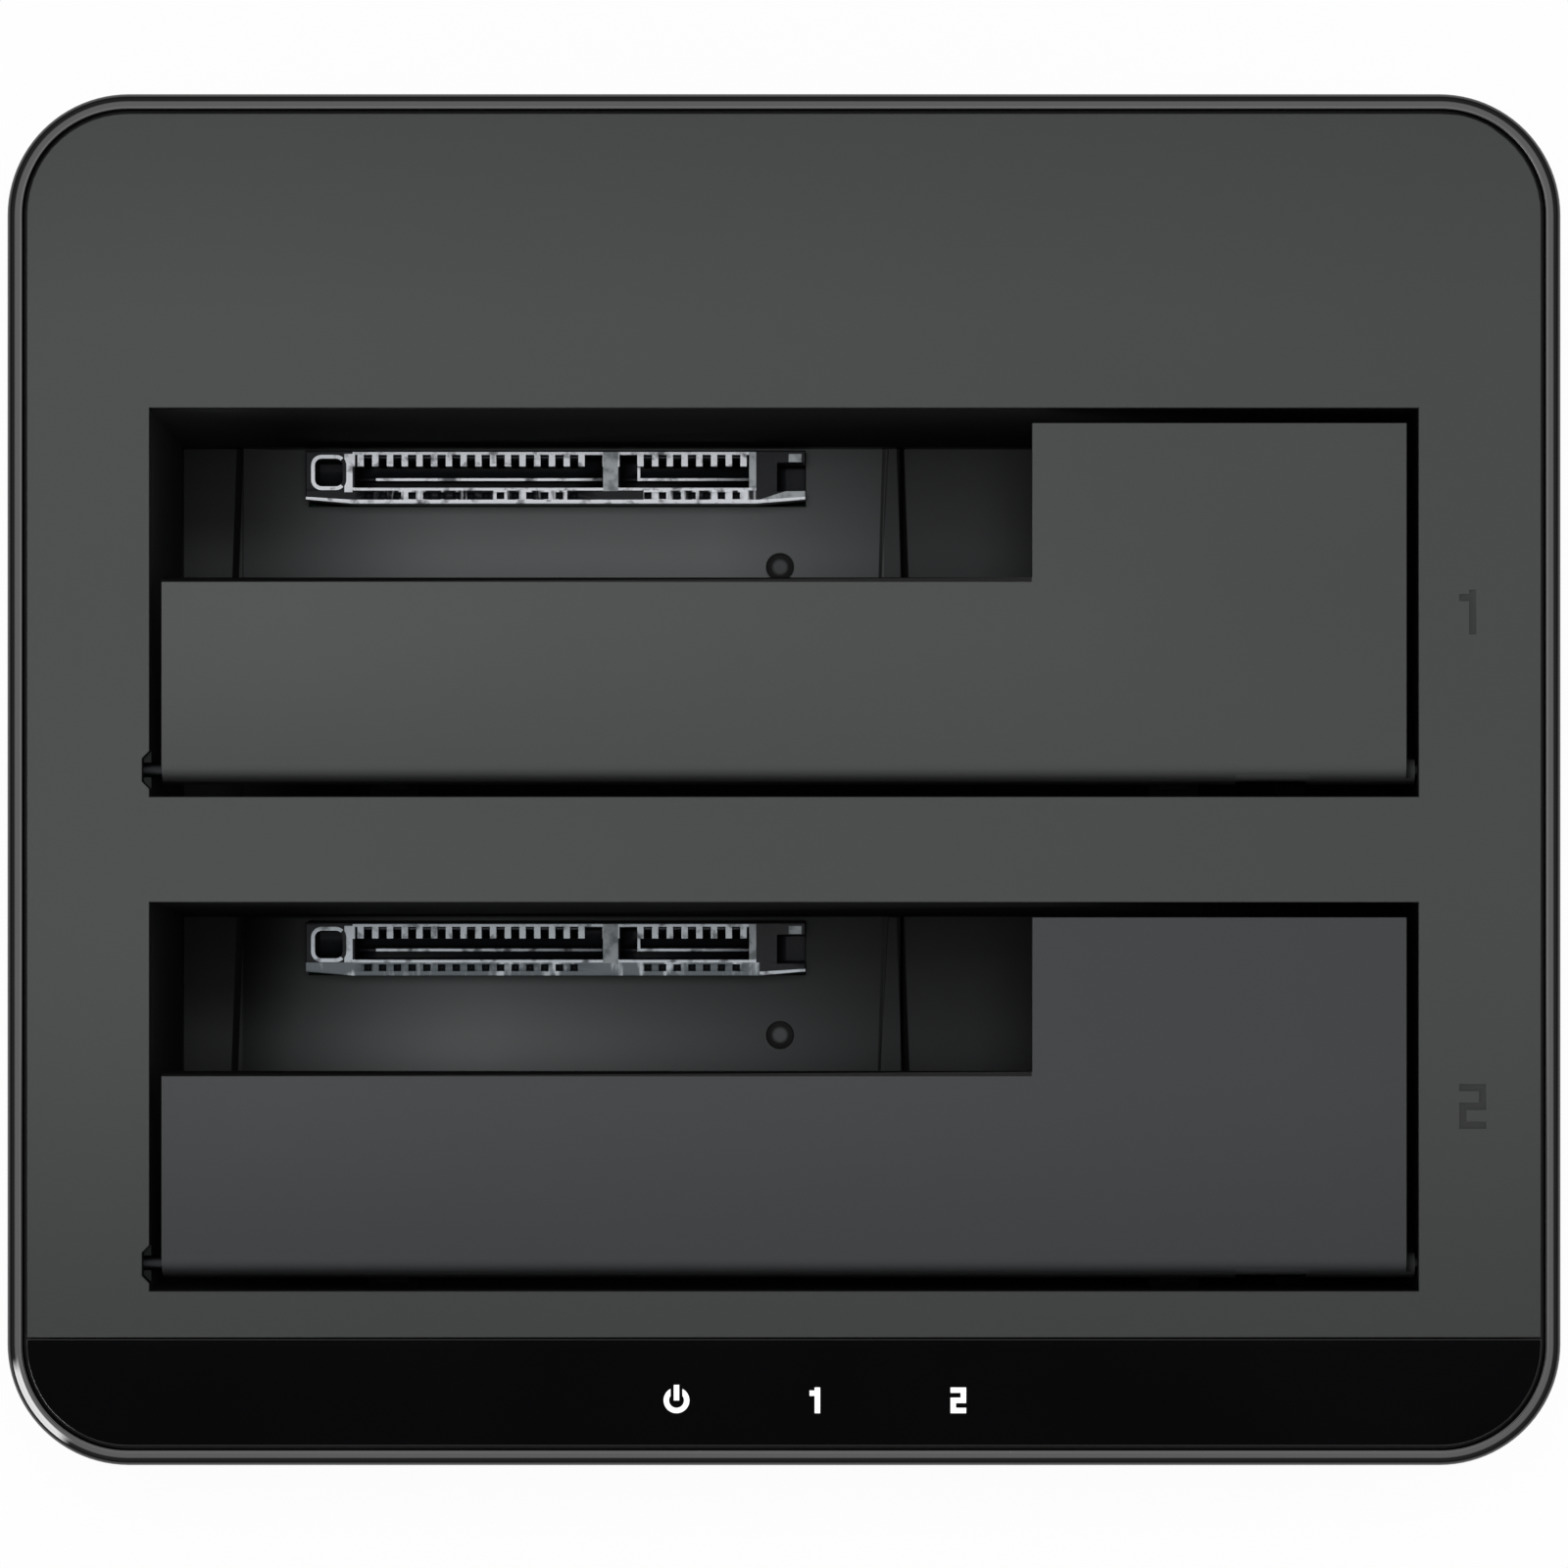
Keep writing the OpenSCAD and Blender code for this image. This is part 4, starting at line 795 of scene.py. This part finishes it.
strip_bm = skin_of("front_strip")
soften(strip_bm, 0.05 * MM, lambda e: at_top(e) and not in_icon(e))
strip = piece("gloss_strip", strip_bm, ["gloss_black"], ["front_strip"])
print("panel", len(panel.data.polygons), "faces, strip", len(strip.data.polygons))

# %% [markdown]
# ## The flaps
# A flap is a plate with a rounded nose over its hinge. Its upper edges are rounded a little, so
# that a drive pushed down on it does not catch, and the edge that a drive slides past is rounded
# more. Over the spring, where the solid is open, a thin skin is spun to carry the nose on. The
# flap rides on its own body, which the hinge turns.

# %% Flaps
FLAP_ROUND, SLIDE_ROUND = 0.2 * MM, 0.45 * MM
NOSE_ROUND, NOSE_BACK = 1.8 * MM, 0.8 * MM
NOSE_SKIN, NOSE_TURN = 0.06 * MM, math.radians(50)
NOSE_END = 0.5 * MM
SPRING_ROOM = (37.2 * MM, 43.3 * MM)

for body, grey in (("flap_1", "flap_grey"), ("flap_2", "flap_slate")):
    slide_y = hinge_y[body] + FLAP_SHORT

    def slides(edge):
        return at_top(edge) and all(abs(v.co.y - slide_y) < HAIR for v in edge.verts)

    flap_bm = skin_of(body)
    soften(flap_bm, SLIDE_ROUND, slides, 5)
    soften(flap_bm, FLAP_ROUND, at_top)
    nose = Vector((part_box(body)[1].x, hinge_y[body] + NOSE_BACK, LID_TOP - NOSE_ROUND))

    def at_nose_end(edge):
        return all(abs(v.co.x) > nose.x - HAIR and v.co.y < nose.y + HAIR
                   and v.co.z > nose.z - HAIR for v in edge.verts)

    soften(flap_bm, NOSE_END, at_nose_end)
    before = set(flap_bm.faces)
    ends = [flap_bm.verts.new((x, nose.y - NOSE_ROUND, nose.z)) for x in SPRING_ROOM]
    bmesh.ops.spin(flap_bm, geom=ends + [flap_bm.edges.new(ends)], cent=nose, axis=(1, 0, 0),
                   angle=-NOSE_TURN, steps=8)
    nose_skin = [f for f in flap_bm.faces if f not in before]
    bmesh.ops.solidify(flap_bm, geom=nose_skin, thickness=NOSE_SKIN)
    flap = piece(body + "_plate", flap_bm, [grey], [body], body)
    print(flap.name, len(flap.data.polygons), "faces")

# %% [markdown]
# ## The bays
# Each bay is a deep tub with a raised pad, side floors, a rib and the stops for its flap. Only
# what lies near the floor is seen from above, so those edges are the ones to round. The floor
# fits closely round its socket, so the corners of that window are drawn in to a hair's breadth.

# %% Bay tubs
WINDOW_GAP, WINDOW_REACH = 0.05 * MM, 0.4 * MM
PAD_ROUND = 0.12 * MM


def clamp(value, least, most):
    return max(least, min(value, most))


for bay, grey in (("bay_well_1", "well_grey"), ("bay_well_2", "well_shade")):
    bay_bm = skin_of(bay)
    socket_low, socket_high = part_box("sata_socket_" + bay[-1])
    drawn = 0
    for vert in bay_bm.verts:
        near = Vector([clamp(vert.co[i], socket_low[i] - WINDOW_GAP, socket_high[i] + WINDOW_GAP)
                       for i in (0, 1)])
        if vert.co.z < BAY_FLOOR + HAIR and (vert.co.xy - near).length < WINDOW_REACH:
            vert.co.xy = near
            drawn += 1
    soften(bay_bm, PAD_ROUND, between(BAY_FLOOR - 0.1 * MM, BAY_FLOOR + 1 * MM), 2)
    tub = piece(bay + "_tub", bay_bm, [grey], [bay])
    print(tub.name, len(tub.data.polygons), "faces, window corners", drawn)

# %% [markdown]
# ## The sockets
# A socket is a black frame with two cavities, an ear at each end and a row of cells in its front
# wall, which leans back a little towards both ends. A comb of teeth along the rear wall keeps its
# contacts apart. What shows most is its upper edges, painted pale, partly as worn plastic and
# partly as painted highlight. The copy's upper edges are rounded, teeth are added as small blocks,
# and it is cut along the sides of the pale places, so that each of these is made of whole faces and
# can take a finish of its own. Places are in millimetres from the socket's middle.

# %% Worn and highlit places on a socket
SOCKET_MIDDLE = -19.7 * MM
SOCKET_TOP = 27.5 * MM
GUIDE_TOP = SOCKET_TOP - 2.5 * MM
# The places below are painted pale, partly as worn plastic and partly as highlight.
GUIDE_WORN_AND_LIT = ((-15.6, 4.2), (7.02, 16.7))
CELL_WIDE = 0.65 * MM
EDGE_ROUND = 0.1 * MM
DULL = (((4.1, 5.4), (-1.2, 2.16)), ((16.675, 17.3), (-0.9, 2.16)),
        ((20.1, 21.2), (1.3, 2.0)))
WORN_AND_LIT = (((-17.5, 17.3), (0.9, 2.16)), ((-18.2, -17.5), (-1.3, 2.0)),
        ((-17.5, 17.3), (-1.15, -0.9)), ((-21.55, 21.55), (-2.3, -1.95)))
SCUFFED_AND_LIT = {"1": (((-14.9, 1.0), (-1.95, -1.15)), ((7.6, 17.3), (-1.95, -1.15))),
           "2": (((-21.55, 17.6), (-2.3, -1.15)),)}
WEDGE_FROM, WEDGE_LEAN = Vector((17.6, -1.95)) * MM, 0.32


def within(x, y, spans):
    return all(lo * MM < value < hi * MM for value, (lo, hi) in zip((x, y), spans))


def worn_and_highlit_finish(face, middle_y, bay):
    """Gives the number of a socket face's finish: black, worn, scuffed or dull, all but black
    painted pale as worn plastic and as highlight.
    """
    place = face.calc_center_median()
    x, y = place.x - SOCKET_MIDDLE, place.y - middle_y
    if face.normal.z < 0.3 or place.z < GUIDE_TOP - EDGE_ROUND:
        return 0
    if place.z < SOCKET_TOP - EDGE_ROUND:
        on_guide = abs(place.z - GUIDE_TOP) < EDGE_ROUND
        return int(on_guide and any(lo * MM < x < hi * MM for lo, hi in GUIDE_WORN_AND_LIT))
    in_wedge = WEDGE_FROM.y < y < WEDGE_FROM.y + WEDGE_LEAN * (x - WEDGE_FROM.x)
    if (in_wedge and bay == "1") or any(within(x, y, spans) for spans in DULL):
        return 3
    if any(within(x, y, spans) for spans in SCUFFED_AND_LIT[bay]):
        return 2
    return int(any(within(x, y, spans) for spans in WORN_AND_LIT))


print(len(WORN_AND_LIT), "worn and lit places,", len(DULL), "dull ones")

# %% Comb, hook and ear
CONTACT_PITCH = 1.27 * MM
ROWS = ((-16.175 * MM, 15), (7.955 * MM, 7))
TOOTH = Vector((0.54, 1.05, 2.4)) * MM
TOOTH_Y = 1.45 * MM
HOOK = Vector((0.24, 1.1, 2.0)) * MM
HOOK_AT = Vector((7.14, 0.45, -3.5)) * MM
EAR_AT = Vector((-19.55, 0.4)) * MM
EAR_HALF, EAR_ROUND, EAR_LIP = 1.2 * MM, 0.9 * MM, 0.32 * MM
END_FROM, END_LEAN = 17.5 * MM, 0.09
BAND_FRONT, BAND_REAR = 2.3 * MM, 1.15 * MM


def block(bm, size, middle):
    verts = bmesh.ops.create_cube(bm, size=1)["verts"]
    bmesh.ops.scale(bm, vec=size, verts=verts)
    bmesh.ops.translate(bm, verts=verts, vec=middle)


def add_comb(bm, middle_y):
    """Stands a tooth on either side of every contact, and a hook at the short row's guide."""
    for row_start, count in ROWS:
        for k in range(count + 1):
            x = SOCKET_MIDDLE + row_start + (k - 0.5) * CONTACT_PITCH
            block(bm, TOOTH, (x, middle_y + TOOTH_Y, SOCKET_TOP - HAIR - TOOTH.z / 2))
    block(bm, HOOK, HOOK_AT + Vector((SOCKET_MIDDLE, middle_y, SOCKET_TOP)))


def add_lip(bm, middle_y):
    """Lays a lip round the left ear's hole: a square with round corners, inset and emptied."""
    middle = Vector((SOCKET_MIDDLE + EAR_AT.x, middle_y + EAR_AT.y, SOCKET_TOP + HAIR))
    verts = bmesh.ops.create_grid(
        bm, x_segments=1, y_segments=1, size=EAR_HALF + EAR_LIP)["verts"]
    bmesh.ops.translate(bm, verts=verts, vec=middle)
    before = {f for f in bm.faces if verts[0] not in f.verts}
    bmesh.ops.bevel(
        bm, geom=verts, offset=EAR_ROUND, affect="VERTICES", segments=6, profile=0.5, material=-1)
    square = [f for f in bm.faces if f not in before]
    lip = bmesh.ops.inset_region(
        bm, faces=square, thickness=EAR_LIP, use_boundary=True, use_even_offset=True)["faces"]
    bmesh.ops.delete(bm, geom=square, context="FACES")
    bmesh.ops.solidify(bm, geom=lip, thickness=0.2 * MM)
    return [f for f in bm.faces if f not in before]


def lean_ends(bm, middle_y):
    """Leans the front back towards both ends, fully at its face and not at all behind its band."""
    for vert in bm.verts:
        past = abs(vert.co.x - SOCKET_MIDDLE) - END_FROM
        deep = (middle_y - BAND_REAR - vert.co.y) / (BAND_FRONT - BAND_REAR)
        vert.co.y += END_LEAN * max(past, 0) * max(deep, 0)


print("teeth", sum(count + 1 for row_start, count in ROWS))

# %% Socket frames
LIP_WORN_AND_LIT = 1.15 * MM

for bay in "12":
    socket_name = "sata_socket_" + bay
    middle_y = sum(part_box(socket_name), Vector()).y / 2
    socket_bm = skin_of(socket_name)
    at_rim, at_guide = between(SOCKET_TOP, SOCKET_TOP), between(GUIDE_TOP, GUIDE_TOP)
    ear_x = SOCKET_MIDDLE + EAR_AT.x
    hole = [v for v in socket_bm.verts if abs(v.co.x - ear_x) < EAR_HALF + EDGE_ROUND
            and abs(v.co.y - middle_y) < EAR_HALF + EDGE_ROUND]
    bmesh.ops.translate(socket_bm, verts=hole, vec=(0, EAR_AT.y, 0))
    soften(socket_bm, EDGE_ROUND, lambda e: at_rim(e) and e.calc_length() > CELL_WIDE + HAIR, 2)
    soften(socket_bm, 0.06 * MM, at_guide, 2)
    add_comb(socket_bm, middle_y)
    places = WORN_AND_LIT + DULL + SCUFFED_AND_LIT[bay]
    cut_x = sorted({x for xs, ys in places for x in xs} | {x for xs in GUIDE_WORN_AND_LIT for x in xs})
    cut_y = sorted({y for xs, ys in places for y in ys})
    cuts = [((SOCKET_MIDDLE + x * MM, 0, 0), (1, 0, 0)) for x in cut_x]
    cuts += [((0, middle_y + y * MM, 0), (0, 1, 0)) for y in cut_y]
    wedge_at = Vector((SOCKET_MIDDLE, middle_y)) + WEDGE_FROM
    cuts.append(((*wedge_at, 0), (-WEDGE_LEAN, 1, 0)))
    for point, normal in cuts:
        everything = list(socket_bm.faces) + list(socket_bm.edges) + list(socket_bm.verts)
        bmesh.ops.bisect_plane(
            socket_bm, geom=everything, plane_co=point, plane_no=normal, dist=WELD)
    for face in socket_bm.faces:
        face.material_index = worn_and_highlit_finish(face, middle_y, bay)
    lean_ends(socket_bm, middle_y)
    for face in add_lip(socket_bm, middle_y):
        # The lip's left part is painted pale, as worn plastic and as highlight.
        face.material_index = int(face.calc_center_median().x < ear_x + LIP_WORN_AND_LIT)
    socket = piece("socket_frame_" + bay, socket_bm,
                   ["socket_black", *socket_worn_and_highlit[bay]], [socket_name])
    print(socket.name, len(socket.data.polygons), "faces, hole corners", len(hole))

# %% [markdown]
# ## The contacts
# Each contact is a strip of sheet metal that stands between two teeth. It comes up along the rear
# wall, bends over and slopes down forwards, so that a drive's edge presses on the slope. An edge
# as wide as the strip is pushed up, spun over and pushed down twice, given its thickness and
# copied along the row.

# %% Contact strips
STRIP_WIDE, STRIP_THICK = 0.66 * MM, 0.12 * MM
BEND = 0.12 * MM
SLOPES = (Vector((0, -0.75, -2.4)) * MM, Vector((0, 0.3, -1.2)) * MM)

for bay in "12":
    low_contact, high_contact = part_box("sata_contacts_" + bay)
    strips_bm = bmesh.new()
    start_x = SOCKET_MIDDLE + ROWS[0][0]
    rear_y = high_contact.y - 0.02 * MM
    bend_z = high_contact.z - BEND
    ends = [strips_bm.verts.new((start_x + s * STRIP_WIDE / 2, rear_y, low_contact.z))
            for s in (-1, 1)]
    edges = push(strips_bm, [strips_bm.edges.new(ends)], (0, 0, bend_z - low_contact.z))
    bow = bmesh.ops.spin(
        strips_bm, geom=edges + ends_of(edges), cent=(0, rear_y - BEND, bend_z),
        axis=(1, 0, 0), angle=math.pi, steps=8)["geom_last"]
    edges = [g for g in bow if isinstance(g, bmesh.types.BMEdge)]
    for way in SLOPES:
        edges = push(strips_bm, edges, way)
    bmesh.ops.recalc_face_normals(strips_bm, faces=strips_bm.faces)
    bmesh.ops.solidify(strips_bm, geom=list(strips_bm.faces), thickness=STRIP_THICK)
    one = list(strips_bm.verts) + list(strips_bm.edges) + list(strips_bm.faces)
    for row_start, count in ROWS:
        for k in range(count):
            step_x = row_start - ROWS[0][0] + k * CONTACT_PITCH
            if step_x > 0:
                copy = bmesh.ops.duplicate(strips_bm, geom=one)["geom"]
                moved = [g for g in copy if isinstance(g, bmesh.types.BMVert)]
                bmesh.ops.translate(strips_bm, verts=moved, vec=(step_x, 0, 0))
    strips = piece("contact_strips_" + bay, strips_bm, ["contact_tin"],
                   ["sata_contacts_" + bay])
    print(strips.name, len(strips.data.polygons), "faces")

# %% [markdown]
# ## Turned parts
# Rods and feet are round, so each is half an outline spun about its middle line. The outline can
# hold what a plain cylinder lacks: a rod's chamfered ends, or a foot's rounded rim and groove.


# %% Hinge rods and feet
def turned(bm, outline, middle, axis, side, steps):
    """Spins an outline of (along the axis, away from it) points about a line through middle."""
    axis, side = Vector(axis), Vector(side)
    verts = [bm.verts.new(Vector(middle) + axis * a + side * r) for a, r in outline]
    edges = [bm.edges.new(pair) for pair in zip(verts, verts[1:])]
    bmesh.ops.spin(
        bm, geom=verts + edges, cent=middle, axis=axis, angle=2 * math.pi, steps=steps,
        use_merge=True)
    bmesh.ops.remove_doubles(bm, verts=bm.verts, dist=WELD)
    bmesh.ops.recalc_face_normals(bm, faces=bm.faces)


ROD_CHAMFER = 0.2 * MM
for bay in "12":
    rod_low, rod_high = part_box("hinge_rod_" + bay)
    half, radius = rod_high.x, (rod_high.z - rod_low.z) / 2
    rod_outline = [(-half, 0), (-half, radius - ROD_CHAMFER), (ROD_CHAMFER - half, radius),
                   (half - ROD_CHAMFER, radius), (half, radius - ROD_CHAMFER), (half, 0)]
    rod_bm = bmesh.new()
    turned(rod_bm, rod_outline, (rod_low + rod_high) / 2, (1, 0, 0), (0, 1, 0), 24)
    rod = piece("hinge_pin_" + bay, rod_bm, ["steel"], ["hinge_rod_" + bay])

FOOT_X, FOOT_Y, FOOT_R = 46 * MM, 38.5 * MM, 6 * MM
foot_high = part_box("rubber_feet")[1].z
groove = [(0, 3.9 * MM), (0.3 * MM, 4.15 * MM), (0.3 * MM, 4.6 * MM), (0, 4.85 * MM)]
rounded = [(0, FOOT_R - 0.5 * MM), (0.15 * MM, FOOT_R - 0.15 * MM), (0.5 * MM, FOOT_R)]
foot_outline = [(0, 0), *groove, *rounded, (foot_high, FOOT_R), (foot_high, 0)]
feet_bm = bmesh.new()
for sx in (-1, 1):
    for sy in (-1, 1):
        turned(feet_bm, foot_outline, (sx * FOOT_X, sy * FOOT_Y, 0), (0, 0, 1), (1, 0, 0), 48)
feet = piece("feet", feet_bm, ["rubber"], ["rubber_feet"])
print(rod.name, len(rod.data.polygons), "faces, feet", len(feet.data.polygons))

# %% [markdown]
# ## The flap springs
# A torsion spring round each rod lifts its flap. One leg lies in the flap's groove and the other
# rests on the front wall, so when the flap turns, the coil winds up. A ring of wire is pushed
# along the first leg, spun through the coil while it moves sideways, and pushed down the second.
# The piece rides on no body.

# %% Springs
WIRE, COIL = 0.15 * MM, 0.76 * MM
LEG = 6 * MM
COIL_TURN, COIL_PITCH = math.radians(1530), 0.9 * MM
COIL_STEPS = 102
SPRING_X = 38.25 * MM

for flap, y in hinge_y.items():
    bay = flap[-1]
    hinge_z = sum(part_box("hinge_rod_" + bay), Vector()).z / 2
    spring_bm = bmesh.new()
    circle = bmesh.ops.create_circle(spring_bm, radius=WIRE, segments=10)["verts"]
    upright = Matrix.Rotation(math.pi / 2, 3, "X")
    bmesh.ops.rotate(spring_bm, verts=circle, cent=(0, 0, 0), matrix=upright)
    bmesh.ops.translate(spring_bm, verts=circle, vec=(SPRING_X, y + LEG, hinge_z + COIL))
    wire = push(spring_bm, list(spring_bm.edges), (0, -LEG, 0))
    travel = COIL_PITCH * COIL_TURN / (2 * math.pi)
    coil = bmesh.ops.spin(
        spring_bm, geom=wire + ends_of(wire), cent=(SPRING_X, y, hinge_z), axis=(1, 0, 0),
        dvec=(travel / COIL_STEPS, 0, 0), angle=COIL_TURN, steps=COIL_STEPS)["geom_last"]
    push(spring_bm, [g for g in coil if isinstance(g, bmesh.types.BMEdge)], (0, 0, -LEG))
    bmesh.ops.remove_doubles(spring_bm, verts=spring_bm.verts, dist=WELD)
    bmesh.ops.holes_fill(spring_bm, edges=[e for e in spring_bm.edges if e.is_boundary])
    bmesh.ops.recalc_face_normals(spring_bm, faces=spring_bm.faces)
    spring = piece(
        "spring_" + bay, spring_bm, ["steel"], ["flap_spring_" + bay], None)
    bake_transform(spring)
    print(spring.name, len(spring.data.polygons), "faces")

# %% [markdown]
# ## The tray and the ports
# These keep their solid shapes and only need rounded edges: the tray along its base and its seam
# with the housing, the rest all round.

# %% Tray and ports
PEG_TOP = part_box("lower_case")[1].z
BASE, SEAM = 1.5 * MM, 10 * MM
EASED = {"port_plate": 0.2, "dc_jack": 0.12, "usb_shell": 0.06, "usb_insert": 0.06,
         "switch_body": 0.2, "power_rocker": 0.3, "case_screws": 0.06}


def everywhere(edge):
    return True


def on_skin(edge):
    """Picks edges of the tray's outer side and base, not those inside it."""
    place = (edge.verts[0].co + edge.verts[1].co) / 2
    outer = abs(place.x) > high.x - CORNER and abs(place.y) > high.y - CORNER
    side = abs(place.x) > high.x - HAIR or abs(place.y) > high.y - HAIR
    return (outer or side) and edge.calc_length() > 0.3 * MM and (
        between(BASE, BASE)(edge) or between(SEAM, SEAM)(edge))


tray_bm = skin_of("lower_case")
soften(tray_bm, SEAM_ROUND, on_skin, 3)
for face in tray_bm.faces:
    face.material_index = int(face.calc_center_median().z > PEG_TOP - HAIR)
tray = piece("tray", tray_bm, ["case_black", "peg_grey"], ["lower_case"])
print("tray", len(tray.data.polygons), "faces")

for node, width in EASED.items():
    soft_bm = skin_of(node)
    soften(soft_bm, width * MM, everywhere, 2)
    softened = piece(
        node + "_eased", soft_bm, [slots[node]], [node], nodes[node]["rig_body"])
    print(softened.name, len(softened.data.polygons), "faces")

# %% [markdown]
# ## Marks on the switch
# A rocker switch carries a bar for on and a ring for off, printed in white. They are made as thin
# raised shapes: a flattened cube for the bar and a small outline spun round for the ring. The
# half with the bar faces straight back at rest, and the half with the ring leans by 20 degrees.

# %% Bar and ring
PIVOT = Vector((28, 51, 21)) * MM
FACE_OUT = 3.546 * MM
MARK_HIGH = 0.08 * MM
BAR = Vector((0.5, 2 * MARK_HIGH / MM, 2.4)) * MM
RING_IN, RING_OUT = 0.8 * MM, 1.15 * MM
HALF_LEAN = math.radians(20)

marks_bm = bmesh.new()
block(marks_bm, BAR, PIVOT + Vector((-1.9 * MM, FACE_OUT, 0)))
lean_side = Vector((math.cos(HALF_LEAN), -math.sin(HALF_LEAN), 0))
lean_out = Vector((math.sin(HALF_LEAN), math.cos(HALF_LEAN), 0))
ring_middle = PIVOT + Vector((0.625 * MM, FACE_OUT, 0)) + lean_side * 2.4 * MM
ring_outline = [(-MARK_HIGH, RING_IN), (MARK_HIGH, RING_IN), (MARK_HIGH, RING_OUT),
                (-MARK_HIGH, RING_OUT), (-MARK_HIGH, RING_IN)]
turned(marks_bm, ring_outline, ring_middle, lean_out, (0, 0, 1), 40)
marks = piece("switch_marks", marks_bm, ["mark_white"], [], "power_rocker")
print(marks.name, len(marks.data.polygons), "faces")

# %% [markdown]
# ## The table and the light
# The background is white, so the table glows for the camera and for reflections, and still takes
# the station's shadow. In reflections the glow is a ring round the station that fades outwards,
# so that its black sides show a soft gradient. A lacquered rim shows the light itself: a
# pale sky, dim at the horizon, with one dark patch where the flat front strip looks. The strip
# then stays black, while the rim's rounding catches a pale line all the way round. A tall softbox
# to the front left gives the glint on one corner. That sky is only seen and mirrored. What lights
# the plastics is an even dome and a lamp overhead, which reaches down into the bays. The lamp is
# kept out of reflections, as a polarising filter would do.

# %% Floor
FLOOR_HALF = 4.0
GLOW = 0.94
RING = 0.3
NEAR, FAR, EDGE = 0.06, 0.11, 0.17

floor_bm = bmesh.new()
bmesh.ops.create_grid(floor_bm, x_segments=1, y_segments=1, size=FLOOR_HALF)
bmesh.ops.translate(floor_bm, verts=floor_bm.verts, vec=(0, 0, -HAIR))
floor_mesh = bpy.data.meshes.new("table")
floor_bm.to_mesh(floor_mesh)
floor_bm.free()
floor = bpy.data.objects.new("table", floor_mesh)
bpy.context.scene.collection.objects.link(floor)

table_white = bpy.data.materials.new("table_white")
table_white.use_nodes = True
table_white.node_tree.nodes.clear()
table = Wire(table_white.node_tree)
spot = table.node("TexCoord", out="Object")
speck = noise(spot, 30 * MM, 3)
pale = mix_colour(speck, [0.86, 0.86, 0.86, 1], [0.9, 0.9, 0.9, 1])
matt = table.node("BsdfDiffuse", None, {"Color": pale})
away = spot.node("VectorMath", {"operation": "LENGTH"}, {0: spot}, out="Value")
ring_of_light = RING * step(away, NEAR, FAR) * (1 - step(away, EDGE, 2 * EDGE))
seen, gloss, through = (table.node("LightPath", out="Is " + ray + " Ray")
                        for ray in ("Camera", "Glossy", "Transmission"))
black = table.node("BsdfDiffuse", None, {"Color": BLACK})
dimmed = table.node("MixShader", None, {0: GLOW * gloss, 1: matt, 2: black})
white = table.node("Emission", None, {"Color": [1, 1, 1, 1]})
glow = GLOW * (seen + through + gloss * ring_of_light)
lit = table.node("MixShader", None, {0: glow, 1: dimmed, 2: white})
table.node("OutputMaterial", None, {"Surface": lit})
floor_mesh.materials.append(table_white)
print("table", 2 * FLOOR_HALF, "m wide")

# %% Sky
SKY_TOP, SKY_RING, SKY_LOW, SKY_DARK = 1.5, 1.1, 0.12, 0.01
SKY_SOFTBOX = 7
SKY_DOME = 0.45

world = bpy.data.worlds.new("studio")
world.use_nodes = True
world.node_tree.nodes.clear()
bpy.context.scene.world = world
sky = Wire(world.node_tree)
way = sky.node("TexCoord", out="Generated")
way_x, way_y, way_z = (along(way, letter) for letter in "XYZ")


def lean(degrees):
    return math.sin(math.radians(degrees))


def off_zenith(degrees):
    return math.cos(math.radians(degrees))


overhead = step(way_z, off_zenith(18), off_zenith(13))
below = 1 - step(way_z, off_zenith(64), off_zenith(48))
level = SKY_RING + below * (SKY_LOW - SKY_RING) + overhead * (SKY_TOP - SKY_RING)
dark = (1 - step(abs(way_x), lean(7.5), lean(10))) * step(way_y, lean(-9), lean(-7))
dark = dark * (1 - step(way_y, lean(-2.6), lean(-1.2))) * step(way_z, 0.5, 0.6)
panel_turn = math.radians(214)
ahead = way_x * math.cos(panel_turn) + way_y * math.sin(panel_turn)
across = way_y * math.cos(panel_turn) - way_x * math.sin(panel_turn)
softbox = step(math.tan(math.radians(24)) * ahead - abs(across), 0, 0.14) * step(way_z, -0.06, 0.06)
softbox = softbox * (1 - step(way_z, off_zenith(40), off_zenith(30)))
mirrored, viewed = (sky.node("LightPath", out="Is " + ray + " Ray") for ray in ("Glossy", "Camera"))
level = level * (1 - dark) + SKY_DARK + SKY_SOFTBOX * softbox
level = SKY_DOME + (mirrored + viewed) * (level - SKY_DOME)
sky.node("OutputWorld", None, {"Surface": sky.node("Background", None, {"Strength": level})})

print("sky overhead", SKY_TOP, "and at the horizon", SKY_LOW)

# %% Lamp
LAMP_AWAY, LAMP_TILT = 1.4, math.radians(2.5)
LAMP_SIDE = 0.34
LAMP_SHARE = 0.7

lamp_light = bpy.data.lights.new("overhead", "AREA")
lamp_light.shape = "DISK"
lamp_light.size = LAMP_SIDE
lamp_light.energy = LAMP_SHARE * math.pi ** 2 * LAMP_AWAY ** 2
lamp = bpy.data.objects.new("overhead", lamp_light)
lamp.location = (0, LAMP_AWAY * math.sin(LAMP_TILT), top + LAMP_AWAY * math.cos(LAMP_TILT))
lamp.rotation_euler = (-LAMP_TILT, 0, 0)
lamp.visible_camera = False
lamp.visible_glossy = False
bpy.context.scene.collection.objects.link(lamp)
print("lamp", round(lamp_light.energy, 2), "W")

# %% [markdown]
# ## Finish
# The colours are shown through the Standard view transform.

# %% Finish
bpy.context.scene.view_settings.view_transform = "Standard"
